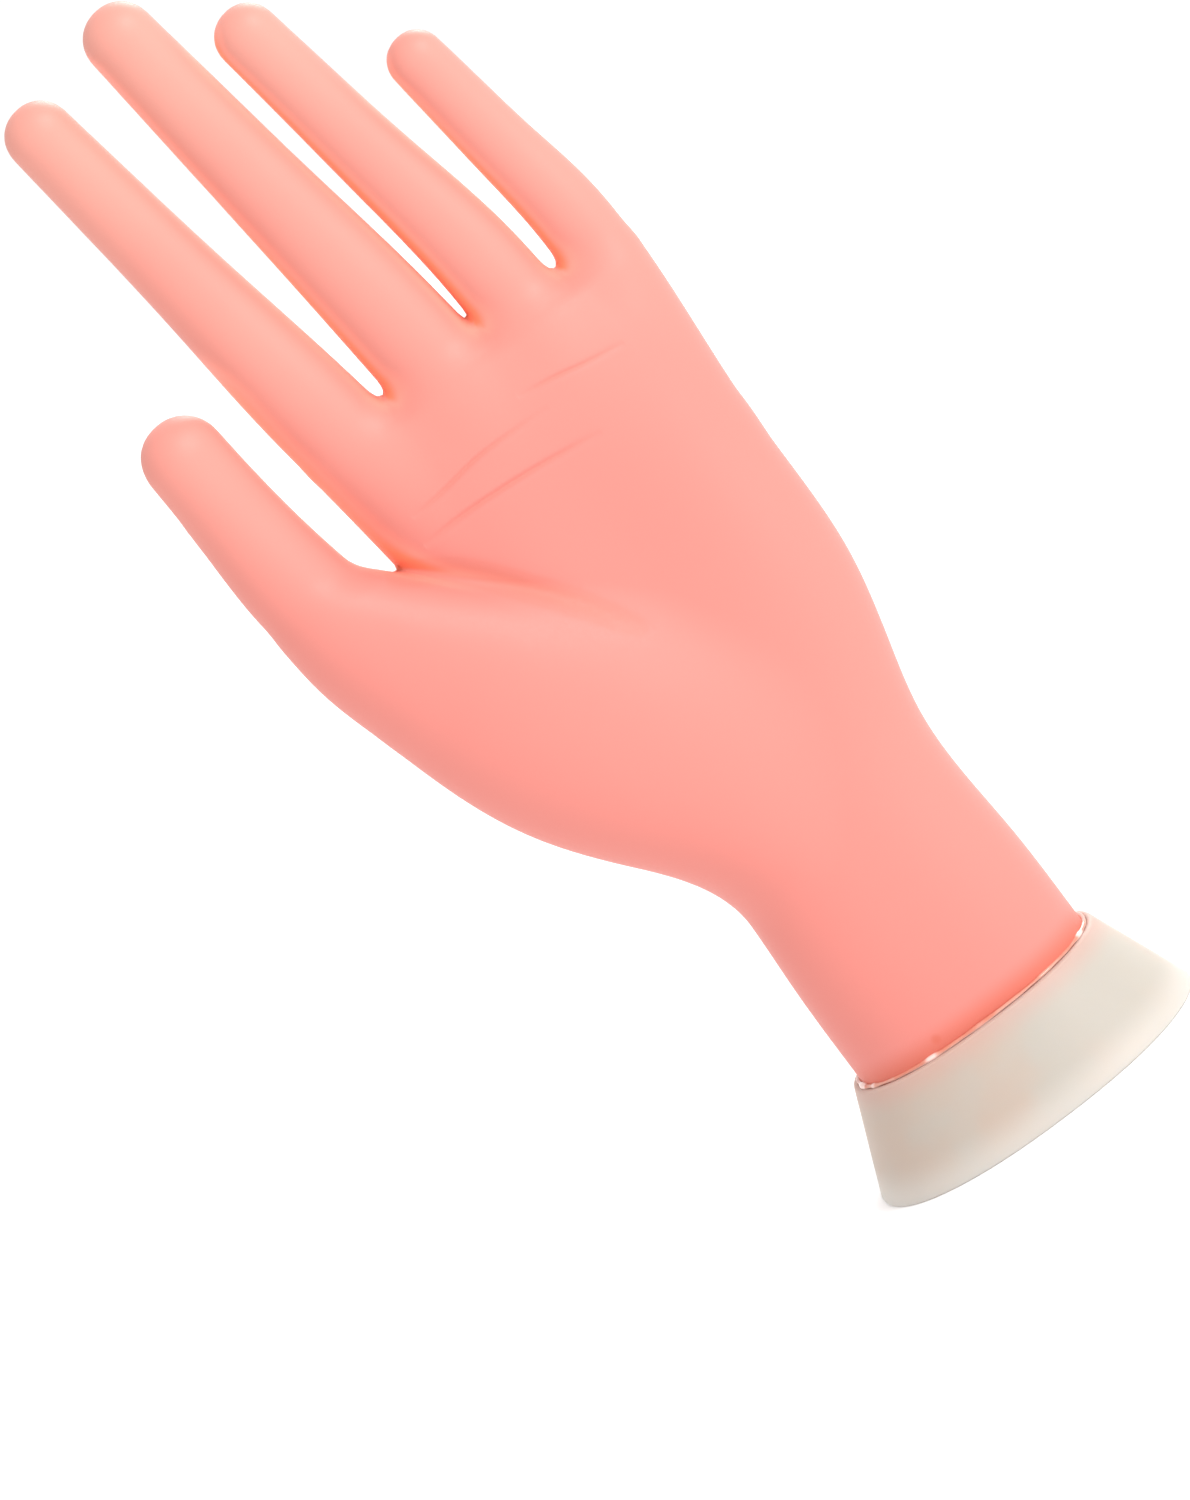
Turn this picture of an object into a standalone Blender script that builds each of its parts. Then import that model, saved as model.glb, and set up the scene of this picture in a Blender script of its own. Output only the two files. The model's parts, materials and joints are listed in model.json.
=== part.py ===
"""Left practice hand with bendable fingers, standing on a flared base.

A hollow soft vinyl skin covers a jointed plastic skeleton: a palm frame that is screwed
to a base plug, and fourteen finger links on hinge pins. Nail tips push into slots in the
finger ends. Metres, +Z up, palm towards -Y, thumb towards -X, origin at the centre of the
base's underside. Sizes below are in millimetres and are scaled once, when a mesh is made.
"""

import math

import bmesh
import bpy
from mathutils import Matrix, Vector

MM = 0.001

# Running gap between neighbouring solids.
GAP = 0.35

# Base: a flared oval collar round a plug that fills the wrist.
COLLAR_HEIGHT = 17.5
COLLAR_FOOT = (30.0, 24.5)
COLLAR_MOUTH = (22.9, 17.6)
COLLAR_WALL = 2.2
PLUG_FLOOR = 3.0
PLUG_HEIGHT = 24.0
PLUG_WALL = 2.0
SKIN_FOOT_Z = 5.0
SCREW_X = 9.0
SCREW_SHANK_R = 1.3
SCREW_HEAD_R = 2.6
SCREW_TOP_Z = 11.0

# Palm skin: height, left edge, right edge, palm side, back of the hand.
SKIN_WALL = 1.8
PALM_WALL = 2.2
PALM_RINGS = (
    (SKIN_FOOT_Z, -21.4, 21.4, -16.1, 16.1),
    (30.0, -21.6, 21.4, -15.8, 15.8),
    (50.0, -21.0, 20.5, -14.2, 14.4),
    (62.0, -21.5, 21.0, -13.4, 13.8),
    (80.0, -24.5, 25.4, -13.0, 13.4),
    (100.0, -28.0, 26.9, -12.6, 13.2),
    (120.0, -30.6, 27.3, -11.8, 12.8),
    (138.0, -32.4, 28.7, -10.2, 11.6),
    (146.0, -32.0, 28.0, -8.0, 9.6),
    (149.0, -29.0, 25.0, -4.5, 6.0),
)
PALM_CAVITY_TOP = 6

# Where each finger grows out of the palm: x, y, z, half width.
FINGER_FEET = {
    "index": (-23.6, 0.6, 130.0, 8.3),
    "middle": (-7.2, 0.8, 130.0, 8.6),
    "ring": (8.6, 0.8, 130.0, 7.6),
    "little": (22.7, 1.3, 130.0, 6.4),
}

# Ball of the thumb, from the wrist to the thumb's root: x, y, z, half width, half depth.
THUMB_ROOT_RINGS = (
    (-6.0, -1.0, 60.0, 10.0, 9.0),
    (-12.0, -2.0, 70.0, 15.2, 11.5),
    (-24.0, -3.0, 88.0, 16.8, 12.5),
    (-34.0, -3.5, 104.0, 13.7, 11.0),
    (-41.0, -4.0, 119.0, 11.0, 9.4),
)

# Fingers, from the root hinge outwards. lean is towards the thumb side, pitch is the
# resting curl of each link towards the palm, roll turns a nail towards the thumb side.
FINGERS = {
    "index": {
        "hinge": (-27.2, 0.5, 158.5),
        "lean": 7.9,
        "roll": 0.0,
        "pitch": (2.0, 5.0, 9.0),
        "links": (21.0, 19.0, 19.6),
        "half_widths": (7.65, 6.5, 5.8, 5.4),
        "bends": ((-10.0, 70.0), (0.0, 80.0), (0.0, 50.0)),
        "nail": 10.5,
    },
    "middle": {
        "hinge": (-9.0, 1.0, 160.5),
        "lean": 7.3,
        "roll": 0.0,
        "pitch": (2.0, 5.0, 9.0),
        "links": (22.0, 20.0, 20.2),
        "half_widths": (7.85, 6.9, 6.2, 5.7),
        "bends": ((-10.0, 70.0), (0.0, 80.0), (0.0, 50.0)),
        "nail": 11.0,
    },
    "ring": {
        "hinge": (7.1, 1.0, 160.0),
        "lean": 9.6,
        "roll": 0.0,
        "pitch": (2.0, 5.0, 9.0),
        "links": (18.0, 16.5, 16.6),
        "half_widths": (6.65, 5.85, 5.35, 5.1),
        "bends": ((-10.0, 70.0), (0.0, 80.0), (0.0, 50.0)),
        "nail": 9.6,
    },
    "little": {
        "hinge": (22.5, 1.5, 156.5),
        "lean": 8.5,
        "roll": 0.0,
        "pitch": (2.0, 5.0, 9.0),
        "links": (12.0, 10.8, 12.8),
        "half_widths": (5.75, 5.2, 4.85, 4.6),
        "bends": ((-10.0, 70.0), (0.0, 75.0), (0.0, 45.0)),
        "nail": 7.6,
    },
    "thumb": {
        "hinge": (-44.7, -4.0, 133.5),
        "lean": 5.6,
        "roll": 25.0,
        "pitch": (1.0, 5.0),
        "links": (15.5, 18.0),
        "half_widths": (8.2, 7.1, 6.7),
        "bends": ((-10.0, 40.0), (0.0, 50.0)),
        "nail": 11.0,
    },
}
LINK_NAMES = {2: ("proximal", "distal"), 3: ("proximal", "middle", "distal")}
ROUNDNESS = 0.92  # depth of a finger over its width
FINGER_WALL = 1.4

# Hinge proportions, as shares of the finger's half width there.
EAR_RADIUS = 0.42
HINGE_WIDTH = 0.95
TONGUE_SHARE = 0.42
PIN_SHARE = 0.36

# Palm frame: a plate with one bar to each finger. A bar starts at x, z on the plate and ends
# in a straight stub of the length given, under the finger's clevis.
FRAME_HALF_THICKNESS = 3.0
FRAME_OUTLINE = ((-8, 58), (8, 58), (19, 92), (20, 108), (-18, 108), (-17, 88))
FRAME_BARS = {
    "index": (-15.0, 100.0, 22.0),
    "middle": (-4.5, 100.0, 22.0),
    "ring": (6.5, 100.0, 12.0),
    "little": (16.0, 98.0, 8.0),
    "thumb": (-12.0, 88.0, 13.0),
}
FRAME_STEM = (8.0, 4.0, 64.0)
FRAME_FOOT = (13.5, 7.0, 12.0)

# Nail tips: a curved plate whose root sits in a slot under the cuticle.
NAIL_THICKNESS = 0.7
NAIL_HALF_ANGLE = math.radians(48)
NAIL_SLOT_DEPTH = 2.4
NAIL_END_INSET = 1.0

AROUND = 16  # sides of a finger
AROUND_PALM = 24
AROUND_PIN = 12
PALM_POWER = 2.2  # superellipse power of the wrist, the palm and the base


# ---------------------------------------------------------------- mesh tools


def new_object(name, bm):
    """An object from a bmesh, with its faces pointing out. It stays in millimetres until finish()."""
    bmesh.ops.recalc_face_normals(bm, faces=bm.faces)
    mesh = bpy.data.meshes.new(name)
    bm.to_mesh(mesh)
    bm.free()
    obj = bpy.data.objects.new(name, mesh)
    bpy.context.scene.collection.objects.link(obj)
    return obj


def combine(obj, bm, operation, solver="EXACT"):
    """Joins a bmesh to obj, or cuts it from obj."""
    tool = new_object("tool", bm)
    modifier = obj.modifiers.new("boolean", "BOOLEAN")
    modifier.operation = operation
    modifier.solver = solver
    modifier.object = tool
    bpy.context.view_layer.update()
    graph = bpy.context.evaluated_depsgraph_get()
    made = bpy.data.meshes.new_from_object(obj.evaluated_get(graph))
    obj.modifiers.clear()
    old, obj.data = obj.data, made
    name = old.name
    bpy.data.meshes.remove(old)
    made.name = name
    bpy.data.objects.remove(tool)


def finish(obj, material, parent=None, angle=35):
    """Scales obj to metres and gives it its material, its parent and smooth shading."""
    obj.data.transform(Matrix.Scale(MM, 4))
    obj.data.materials.clear()
    obj.data.materials.append(material)
    obj.data.shade_smooth()
    obj.data.set_sharp_from_angle(angle=math.radians(angle))
    obj.parent = parent


def oval(half_x, half_y, count=AROUND, power=2.0, centre=(0.0, 0.0)):
    """Points of a superellipse, anticlockwise from +X."""
    points = []
    for i in range(count):
        a = 2 * math.pi * i / count
        c, s = math.cos(a), math.sin(a)
        points.append(
            (
                centre[0] + math.copysign(abs(c) ** (2 / power), c) * half_x,
                centre[1] + math.copysign(abs(s) ** (2 / power), s) * half_y,
            )
        )
    return points


def add_ring(bm, points):
    return [bm.verts.new(p) for p in points]


def bridge(bm, lower, upper):
    count = len(lower)
    for i in range(count):
        j = (i + 1) % count
        bm.faces.new((lower[i], lower[j], upper[j], upper[i]))


def loft(rings, closed=False):
    """A solid through rings of points. closed joins the last ring to the first, as in a tube."""
    bm = bmesh.new()
    made = [add_ring(bm, ring) for ring in rings]
    for lower, upper in zip(made, made[1:]):
        bridge(bm, lower, upper)
    if closed:
        bridge(bm, made[-1], made[0])
    else:
        bm.faces.new(made[0])
        bm.faces.new(made[-1])
    return bm


def prism(outline, low, high, axis):
    """An outline extruded along X ("x", outline in y and z) or along Y ("y", outline in x and z)."""

    def place(a, b, along):
        return (along, a, b) if axis == "x" else (a, along, b)

    return loft([[place(a, b, end) for a, b in outline] for end in (low, high)])


def box(low, high):
    outline = ((low[0], low[2]), (high[0], low[2]), (high[0], high[2]), (low[0], high[2]))
    return prism(outline, low[1], high[1], "y")


def rod(radius, low, high, axis="x", sides=AROUND_PIN):
    """A round bar along X or Z, with a small chamfer at each end."""
    chamfer = 0.25 * radius
    rings = []
    steps = ((low, radius - chamfer), (low + chamfer, radius), (high - chamfer, radius), (high, radius - chamfer))
    for along, r in steps:
        circle = oval(r, r, sides)
        rings.append([(along, u, v) if axis == "x" else (u, v, along) for u, v in circle])
    return loft(rings)


def round_end(centre, radius, outwards, steps=6):
    """Half a circle in the y, z plane, from the palm side to the back, bulging towards outwards (+1 or -1)."""
    points = []
    for i in range(steps + 1):
        a = -math.pi / 2 + math.pi * i / steps
        points.append((radius * math.sin(a), centre + outwards * radius * math.cos(a)))
    return points


# ---------------------------------------------------------------- hinges and links


def hinge_sizes(half_width):
    """Sizes of one hinge: ear radius, width over the ears, tongue and pin."""
    width = HINGE_WIDTH * half_width
    tongue = TONGUE_SHARE * width
    radius = EAR_RADIUS * half_width
    return {
        "radius": radius,
        "width": width,
        "tongue": tongue,
        "ear": (width - tongue) / 2 - GAP,
        "pin": PIN_SHARE * radius,
        "clear": radius + GAP + 0.1,
    }


def bar_section(width, height):
    """An eight-sided bar section with cut corners."""
    x, y, c = width / 2, height / 2, 0.2 * min(width, height)
    return (
        (x, -y + c), (x, y - c), (x - c, y), (-x + c, y),
        (-x, y - c), (-x, -y + c), (-x + c, -y), (x - c, -y),
    )  # fmt: skip


def bar(width, height, low, high):
    return loft([[(x, y, z) for x, y in bar_section(width, height)] for z in (low, high)])


def pin_hole(hinge, at):
    """A cutter for the pin's hole, through the whole hinge at height z = at."""
    reach = hinge["width"]
    circle = oval(hinge["pin"] + GAP, hinge["pin"] + GAP, AROUND_PIN)
    return loft([[(end, u, v + at) for u, v in circle] for end in (-reach, reach)])


def add_clevis(obj, hinge, at, root):
    """Joins two ears to obj, round the pin at z = at, growing from z = root."""
    half_height = hinge["radius"] - 0.05
    outline = [(-half_height, root), *round_end(at, half_height, 1), (half_height, root)]
    inner = hinge["width"] / 2 - hinge["ear"]
    outer = hinge["width"] / 2 - 0.05
    for low, high in ((-outer, -inner), (inner, outer)):
        combine(obj, prism(outline, low, high, "x"), "UNION")
    combine(obj, pin_hole(hinge, at), "DIFFERENCE")


def add_tongue(obj, hinge, half_height_end, end):
    """Joins a tongue to obj that turns on the pin at the origin."""
    outline = [(-half_height_end, end), *round_end(0.0, hinge["radius"], -1), (half_height_end, end)]
    half = hinge["tongue"] / 2
    combine(obj, prism(outline, -half, half, "x"), "UNION")
    combine(obj, pin_hole(hinge, 0.0), "DIFFERENCE")


def make_link(name, length, hinge, next_hinge, material, parent):
    """A link from its own hinge, at the origin, to the next link's hinge at z = length."""
    width = next_hinge["width"] + 0.1
    height = 2 * next_hinge["radius"] + 0.1
    low, high = hinge["clear"], length - next_hinge["clear"]
    link = new_object(name, bar(width, height, low, high))
    add_tongue(link, hinge, next_hinge["radius"] - 0.3, low + 1.2)
    add_clevis(link, next_hinge, length, high - 1.2)
    finish(link, material, parent)


def make_end_link(name, length, hinge, material, parent):
    """The last link: a tongue and a tapered bar inside the fingertip."""
    low, high = hinge["clear"], 0.5 * length
    wide = [(x, y, low) for x, y in bar_section(0.95 * hinge["width"], 1.7 * hinge["radius"])]
    narrow = [(x, y - 0.4, high) for x, y in bar_section(0.7 * hinge["width"], 1.2 * hinge["radius"])]
    link = new_object(name, loft([wide, narrow]))
    add_tongue(link, hinge, 0.7 * hinge["radius"], low + 1.0)
    finish(link, material, parent)


def make_pin(name, hinge, material, parent):
    half = hinge["width"] / 2 - 0.1
    finish(new_object(name, rod(hinge["pin"], -half, half)), material, parent)


# ---------------------------------------------------------------- skin of a finger


def end_cut(y, bends):
    """How far a skin stays from a hinge at depth y, so that two skins can close on each other."""
    back, palm = (math.tan(math.radians(abs(b) / 2 + 3)) for b in bends)
    return 0.5 + max(0.0, -y) * palm + max(0.0, y) * back


def section(half_width, shift=0.0):
    return oval(half_width + shift, ROUNDNESS * half_width + shift)


def cut_ring(points, at, bends, side):
    """A section at the hinge z = at, drawn back on the side (+1 or -1) that it lies on."""
    return [(x, y, at + side * end_cut(y, bends)) for x, y in points]


def make_sleeve(name, length, half_widths, bends, material, parent):
    """A tube of skin between two hinges."""
    outer = [section(h) for h in half_widths]
    inner = [section(h, -FINGER_WALL) for h in half_widths]
    rings = [
        cut_ring(outer[0], 0.0, bends[0], 1),
        cut_ring(outer[1], length, bends[1], -1),
        cut_ring(inner[1], length, bends[1], -1),
        cut_ring(inner[0], 0.0, bends[0], 1),
    ]
    finish(new_object(name, loft(rings, closed=True)), material, parent, 50)


def make_fingertip(name, length, half_widths, bends, nail, material, parent):
    """The skin over the last link: a rounded cup with a slot and a bed for the nail tip."""
    root, tip = half_widths
    bm = bmesh.new()
    rings = [cut_ring(section(root), 0.0, bends, 1)]
    for turn in (0, 30, 58, 80):
        a = math.radians(turn)
        at = length - tip * (1 - math.sin(a))
        rings.append([(x, y, at) for x, y in section(tip * math.cos(a))])
    outer = [add_ring(bm, ring) for ring in rings]
    inner = [
        add_ring(bm, cut_ring(section(root, -FINGER_WALL), 0.0, bends, 1)),
        add_ring(bm, [(x, y - 0.5, 0.5 * length + 0.5) for x, y in section(root * 0.62)]),
    ]
    for lower, upper in zip(outer, outer[1:]):
        bridge(bm, lower, upper)
    bridge(bm, outer[0], inner[0])
    bridge(bm, inner[0], inner[1])
    bm.faces.new(outer[-1])
    bm.faces.new(inner[1])
    skin = new_object(name, bm)
    inside, outside = nail["inner"] - GAP, nail["outer"] + GAP
    slot = arc_plate(nail, 2.0, inside, outside, lambda x: nail["low"] - GAP, lambda x: nail["cuticle"] + 0.6)
    combine(skin, slot, "DIFFERENCE", "MANIFOLD")
    bed = arc_plate(nail, 4.0, inside, outside + 3.0, lambda x: nail["cuticle"], lambda x: length + 3.0)
    combine(skin, bed, "DIFFERENCE", "MANIFOLD")
    finish(skin, material, parent, 50)


# ---------------------------------------------------------------- nail tips


def nail_sizes(finger):
    """Where a nail tip sits in its last link's frame."""
    tip = finger["half_widths"][-1]
    length = finger["links"][-1]
    top = 0.84 * ROUNDNESS * tip
    outer = 0.92 * tip
    cuticle = length - NAIL_END_INSET - finger["nail"]
    return {
        "outer": outer,
        "inner": outer - NAIL_THICKNESS,
        "centre": top - outer,
        "cuticle": cuticle,
        "low": cuticle - NAIL_SLOT_DEPTH,
        "end_centre": length - tip,
        "end_radius": tip - NAIL_END_INSET,
    }


def arc_plate(nail, extra_degrees, inside, outside, low, high):
    """A plate that follows the nail's arc between two radii. low and high give its ends at a distance x across."""
    half = NAIL_HALF_ANGLE + math.radians(extra_degrees)
    steps = 8
    rings = []
    for i in range(steps + 1):
        a = half * (2 * i / steps - 1)
        x = nail["outer"] * math.sin(a)
        ends = ((inside, low(x)), (outside, low(x)), (outside, high(x)), (inside, high(x)))
        rings.append([(r * math.sin(a), nail["centre"] + r * math.cos(a), z) for r, z in ends])
    return loft(rings)


def make_nail(name, nail, material, parent):
    """A plate of one section throughout, so that it slides, with a rounded root and free edge."""

    def low(x):
        return nail["low"] + 0.9 * (x / nail["outer"]) ** 2

    def high(x):
        return nail["end_centre"] + max(nail["end_radius"] ** 2 - x * x, 0.0) ** 0.5

    plate = arc_plate(nail, 0.0, nail["inner"], nail["outer"], low, high)
    finish(new_object(name, plate), material, parent, 40)


# ---------------------------------------------------------------- fingers


def joint_empty(name, parent, matrix):
    """An empty on a hinge: X along the pin, Y to the back of the finger, Z along the link."""
    empty = bpy.data.objects.new(name, None)
    empty.empty_display_size = 5 * MM
    bpy.context.scene.collection.objects.link(empty)
    empty.parent = parent
    empty.matrix_local = Matrix.Translation(matrix.translation * MM) @ matrix.to_3x3().to_4x4()
    return empty


def root_matrix(finger):
    """The root link's frame, in millimetres."""
    turn = (
        Matrix.Rotation(-math.radians(finger["lean"]), 4, "Y")
        @ Matrix.Rotation(math.radians(finger["roll"]), 4, "Z")
        @ Matrix.Rotation(math.radians(finger["pitch"][0]), 4, "X")
    )
    return Matrix.Translation(Vector(finger["hinge"])) @ turn


def make_finger(name, finger, materials):
    names = LINK_NAMES[len(finger["links"])]
    hinges = [hinge_sizes(h) for h in finger["half_widths"][:-1]]
    nail = nail_sizes(finger)
    parent, matrix = None, root_matrix(finger)
    for k, (part, length) in enumerate(zip(names, finger["links"])):
        last = k == len(names) - 1
        joint = joint_empty(f"{name}_{part}_joint", parent, matrix)
        widths = finger["half_widths"][k : k + 2]
        make_pin(f"{name}_{part}_pin", hinges[k], materials["steel"], joint)
        if last:
            make_end_link(f"{name}_{part}_bone", length, hinges[k], materials["bone"], joint)
            make_fingertip(
                f"{name}_{part}_skin", length, widths, finger["bends"][k], nail, materials["skin"], joint
            )
            make_nail(f"{name}_nail_tip", nail, materials["nail"], joint)
            break
        make_link(f"{name}_{part}_bone", length, hinges[k], hinges[k + 1], materials["bone"], joint)
        make_sleeve(
            f"{name}_{part}_skin", length, widths, finger["bends"][k : k + 2], materials["skin"], joint
        )
        curl = math.radians(finger["pitch"][k + 1] - finger["pitch"][k])
        parent = joint
        matrix = Matrix.Translation((0, 0, length)) @ Matrix.Rotation(curl, 4, "X")


# ---------------------------------------------------------------- palm


def palm_rings(inset=0.0):
    rings = []
    for z, left, right, front, back in PALM_RINGS:
        half = ((right - left) / 2 - inset, (back - front) / 2 - inset)
        centre = ((right + left) / 2, (back + front) / 2)
        rings.append([(x, y, z) for x, y in oval(*half, AROUND_PALM, PALM_POWER, centre)])
    return rings


def thumb_root_rings(inset=0.0):
    """Rings across the path of the thumb's ball, which ends square to the thumb's own root."""
    finger = FINGERS["thumb"]
    end = root_matrix(finger).to_3x3()
    roll = math.radians(finger["roll"])
    stations = [(Vector(r[:3]), r[3], r[4]) for r in THUMB_ROOT_RINGS]
    hinge = Vector(finger["hinge"])
    rings = []
    for i, (at, half_width, half_depth) in enumerate(stations):
        before = stations[max(i - 1, 0)][0]
        after = stations[i + 1][0] if i + 1 < len(stations) else hinge
        along = (after - before).normalized()
        across = Vector((0, 1, 0)).cross(along).normalized()
        across = Matrix.Rotation(roll * i / len(stations), 3, along) @ across
        up = along.cross(across)
        points = oval(half_width - inset, half_depth - inset)
        rings.append([tuple(at + across * x + up * y) for x, y in points])
    half_width = finger["half_widths"][0]
    wall = FINGER_WALL if inset else 0.0
    mouth = cut_ring(section(half_width, -wall), 0.0, finger["bends"][0], -1)
    if inset:
        mouth = [(x, y, 2.0) for x, y, _ in mouth]
    rings.append([tuple(hinge + end @ Vector(p)) for p in mouth])
    return rings


def root_stub(name, wall=0.0):
    """The palm's part of a finger, up to the root hinge, or with a wall the bore inside it."""
    finger = FINGERS[name]
    x, y, z, half_width = FINGER_FEET[name]
    foot = [(x + u, y + v, z) for u, v in section(half_width, -wall)]
    top = cut_ring(section(finger["half_widths"][0], -wall), 0.0, finger["bends"][0], -1)
    if wall:
        top = [(u, v, 2.0) for u, v, _ in top]
    matrix = root_matrix(finger)
    return loft([foot, [tuple(matrix @ Vector(p)) for p in top]])


def make_palm_skin(material):
    skin = new_object("palm_skin", loft(palm_rings()))
    combine(skin, loft(thumb_root_rings()), "UNION")
    for name in FINGER_FEET:
        combine(skin, root_stub(name), "UNION")
    hollow = palm_rings(PALM_WALL)[: PALM_CAVITY_TOP + 2]
    hollow[0] = [(x, y, SKIN_FOOT_Z - 1) for x, y, _ in palm_rings(SKIN_WALL)[0]]
    hollow[1] = palm_rings(SKIN_WALL)[1]
    hollow[-1] = [(x, y, z - 1.0) for x, y, z in hollow[-1]]
    combine(skin, loft(hollow), "DIFFERENCE")
    combine(skin, loft(thumb_root_rings(PALM_WALL)), "DIFFERENCE")
    for name in FINGER_FEET:
        combine(skin, root_stub(name, FINGER_WALL), "DIFFERENCE")
    finish(skin, material, angle=60)


def bar_between(start, end, width, height):
    """A straight bar with a rectangular section, its height along Y."""
    start, end = Vector(start), Vector(end)
    along = (end - start).normalized()
    across = Vector((0, 1, 0)).cross(along).normalized()
    up = along.cross(across)
    corners = ((-1, -1), (1, -1), (1, 1), (-1, 1))
    return loft(
        [
            [tuple(at + across * (u * width / 2) + up * (v * height / 2)) for u, v in corners]
            for at in (start, end)
        ]
    )


def make_palm_frame(material):
    """The skeleton's one rigid casting: foot, stem, plate, and a bar and clevis for each finger."""
    half = FRAME_HALF_THICKNESS
    frame = new_object("palm_frame", prism(FRAME_OUTLINE, -half, half, "y"))
    stem_x, stem_y, stem_top = FRAME_STEM
    foot_x, foot_y, foot_top = FRAME_FOOT
    low = PLUG_FLOOR + GAP
    combine(frame, box((-stem_x, -stem_y, foot_top - 1), (stem_x, stem_y, stem_top)), "UNION")
    combine(frame, box((-foot_x, -foot_y, low), (foot_x, foot_y, foot_top)), "UNION")
    for side in (-1, 1):
        pilot = rod(SCREW_SHANK_R + GAP, low - 2, SCREW_TOP_Z + 0.6, "z")
        bmesh.ops.translate(pilot, vec=(side * SCREW_X, 0, 0), verts=pilot.verts)
        combine(frame, pilot, "DIFFERENCE")
    for name, (x, z, stub_length) in FRAME_BARS.items():
        finger = FINGERS[name]
        hinge = hinge_sizes(finger["half_widths"][0])
        width, height = hinge["width"] + 0.1, 2 * hinge["radius"] + 0.1
        stub = new_object(name, bar(width, height, -stub_length, -hinge["clear"]))
        add_clevis(stub, hinge, 0.0, -hinge["clear"] - 1.2)
        matrix = root_matrix(finger)
        stub.data.transform(matrix)
        top = matrix @ Vector((0, 0, 2.0 - stub_length))
        combine(frame, bar_between((x, 0.2, z), top, 0.86 * width, 0.86 * height), "UNION")
        tool = bmesh.new()
        tool.from_mesh(stub.data)
        bpy.data.objects.remove(stub)
        combine(frame, tool, "UNION")
    finish(frame, material)


# ---------------------------------------------------------------- base


def flare(z, inset=0.0):
    """Half sizes of the collar's outside at height z, less an inset."""
    share = z / COLLAR_HEIGHT
    return [foot + (mouth - foot) * share - inset for foot, mouth in zip(COLLAR_FOOT, COLLAR_MOUTH)]


def level(half, z, count=2 * AROUND_PALM):
    return [(x, y, z) for x, y in oval(*half, count, PALM_POWER)]


def make_collar(material):
    mouth = [half - 1.0 for half in COLLAR_MOUTH]
    rings = [
        level(flare(0.6), 0.6),
        level(flare(COLLAR_HEIGHT - 0.5), COLLAR_HEIGHT - 0.5),
        level(flare(COLLAR_HEIGHT, 0.3), COLLAR_HEIGHT),
        level(mouth, COLLAR_HEIGHT),
        level(mouth, COLLAR_HEIGHT - 3.0),
        level(flare(0.0, COLLAR_WALL), 0.0),
        level(flare(0.0, 0.6), 0.0),
    ]
    finish(new_object("base_collar", loft(rings, closed=True)), material)


def make_plug(material):
    """A floor disc and an upright cup in one piece, with two countersunk screw holes."""
    outside = [half - SKIN_WALL - 0.5 for half in (21.4, 16.1)]
    inside = [half - PLUG_WALL for half in outside]
    rings = [
        level(flare(0.0, COLLAR_WALL + GAP), 0.0),
        level(flare(PLUG_FLOOR, COLLAR_WALL + GAP), PLUG_FLOOR),
        level(outside, PLUG_FLOOR),
        level([half - 0.3 for half in outside], PLUG_HEIGHT),
        level([half - 0.3 for half in inside], PLUG_HEIGHT),
        level(inside, PLUG_FLOOR),
    ]
    plug = new_object("base_plug", loft(rings))
    for side in (-1, 1):
        for radius, low, high in (
            (SCREW_SHANK_R + GAP, -1.0, PLUG_FLOOR + 1.0),
            (SCREW_HEAD_R + GAP, -1.0, 1.7),
        ):
            hole = rod(radius, low, high, "z")
            bmesh.ops.translate(hole, vec=(side * SCREW_X, 0, 0), verts=hole.verts)
            combine(plug, hole, "DIFFERENCE")
    finish(plug, material)


def make_screw(name, x, material):
    """A pan-head screw with a straight slot, driven up from below."""
    profile = (
        (SCREW_HEAD_R - 0.5, 0.25),
        (SCREW_HEAD_R, 0.6),
        (SCREW_HEAD_R, 1.3),
        (SCREW_SHANK_R, 1.35),
        (SCREW_SHANK_R, SCREW_TOP_Z - 2.0),
        (0.4, SCREW_TOP_Z),
    )
    rings = [[(u, v, z) for u, v in oval(r, r, AROUND_PIN)] for r, z in profile]
    screw = new_object(name, loft(rings))
    combine(screw, box((-SCREW_HEAD_R - 1, -0.35, 0.0), (SCREW_HEAD_R + 1, 0.35, 0.8)), "DIFFERENCE")
    screw.location.x = x * MM
    finish(screw, material)


def make_adhesive_bead(material):
    """The ring of clear adhesive where the skin enters the collar."""
    low, high = COLLAR_HEIGHT + 0.3, COLLAR_HEIGHT + 1.1
    inside = [half + 0.4 for half in (21.5, 16.05)]
    outside = [half + 0.8 for half in inside]
    rings = [level(outside, low), level([h - 0.3 for h in outside], high), level(inside, high), level(inside, low)]
    finish(new_object("adhesive_bead", loft(rings, closed=True)), material)


# ---------------------------------------------------------------- assembly


def make_material(name, colour, roughness, metallic=0.0):
    material = bpy.data.materials.new(name)
    material.use_nodes = True
    shader = material.node_tree.nodes["Principled BSDF"]
    shader.inputs["Base Color"].default_value = (*colour, 1.0)
    shader.inputs["Roughness"].default_value = roughness
    shader.inputs["Metallic"].default_value = metallic
    return material


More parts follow.
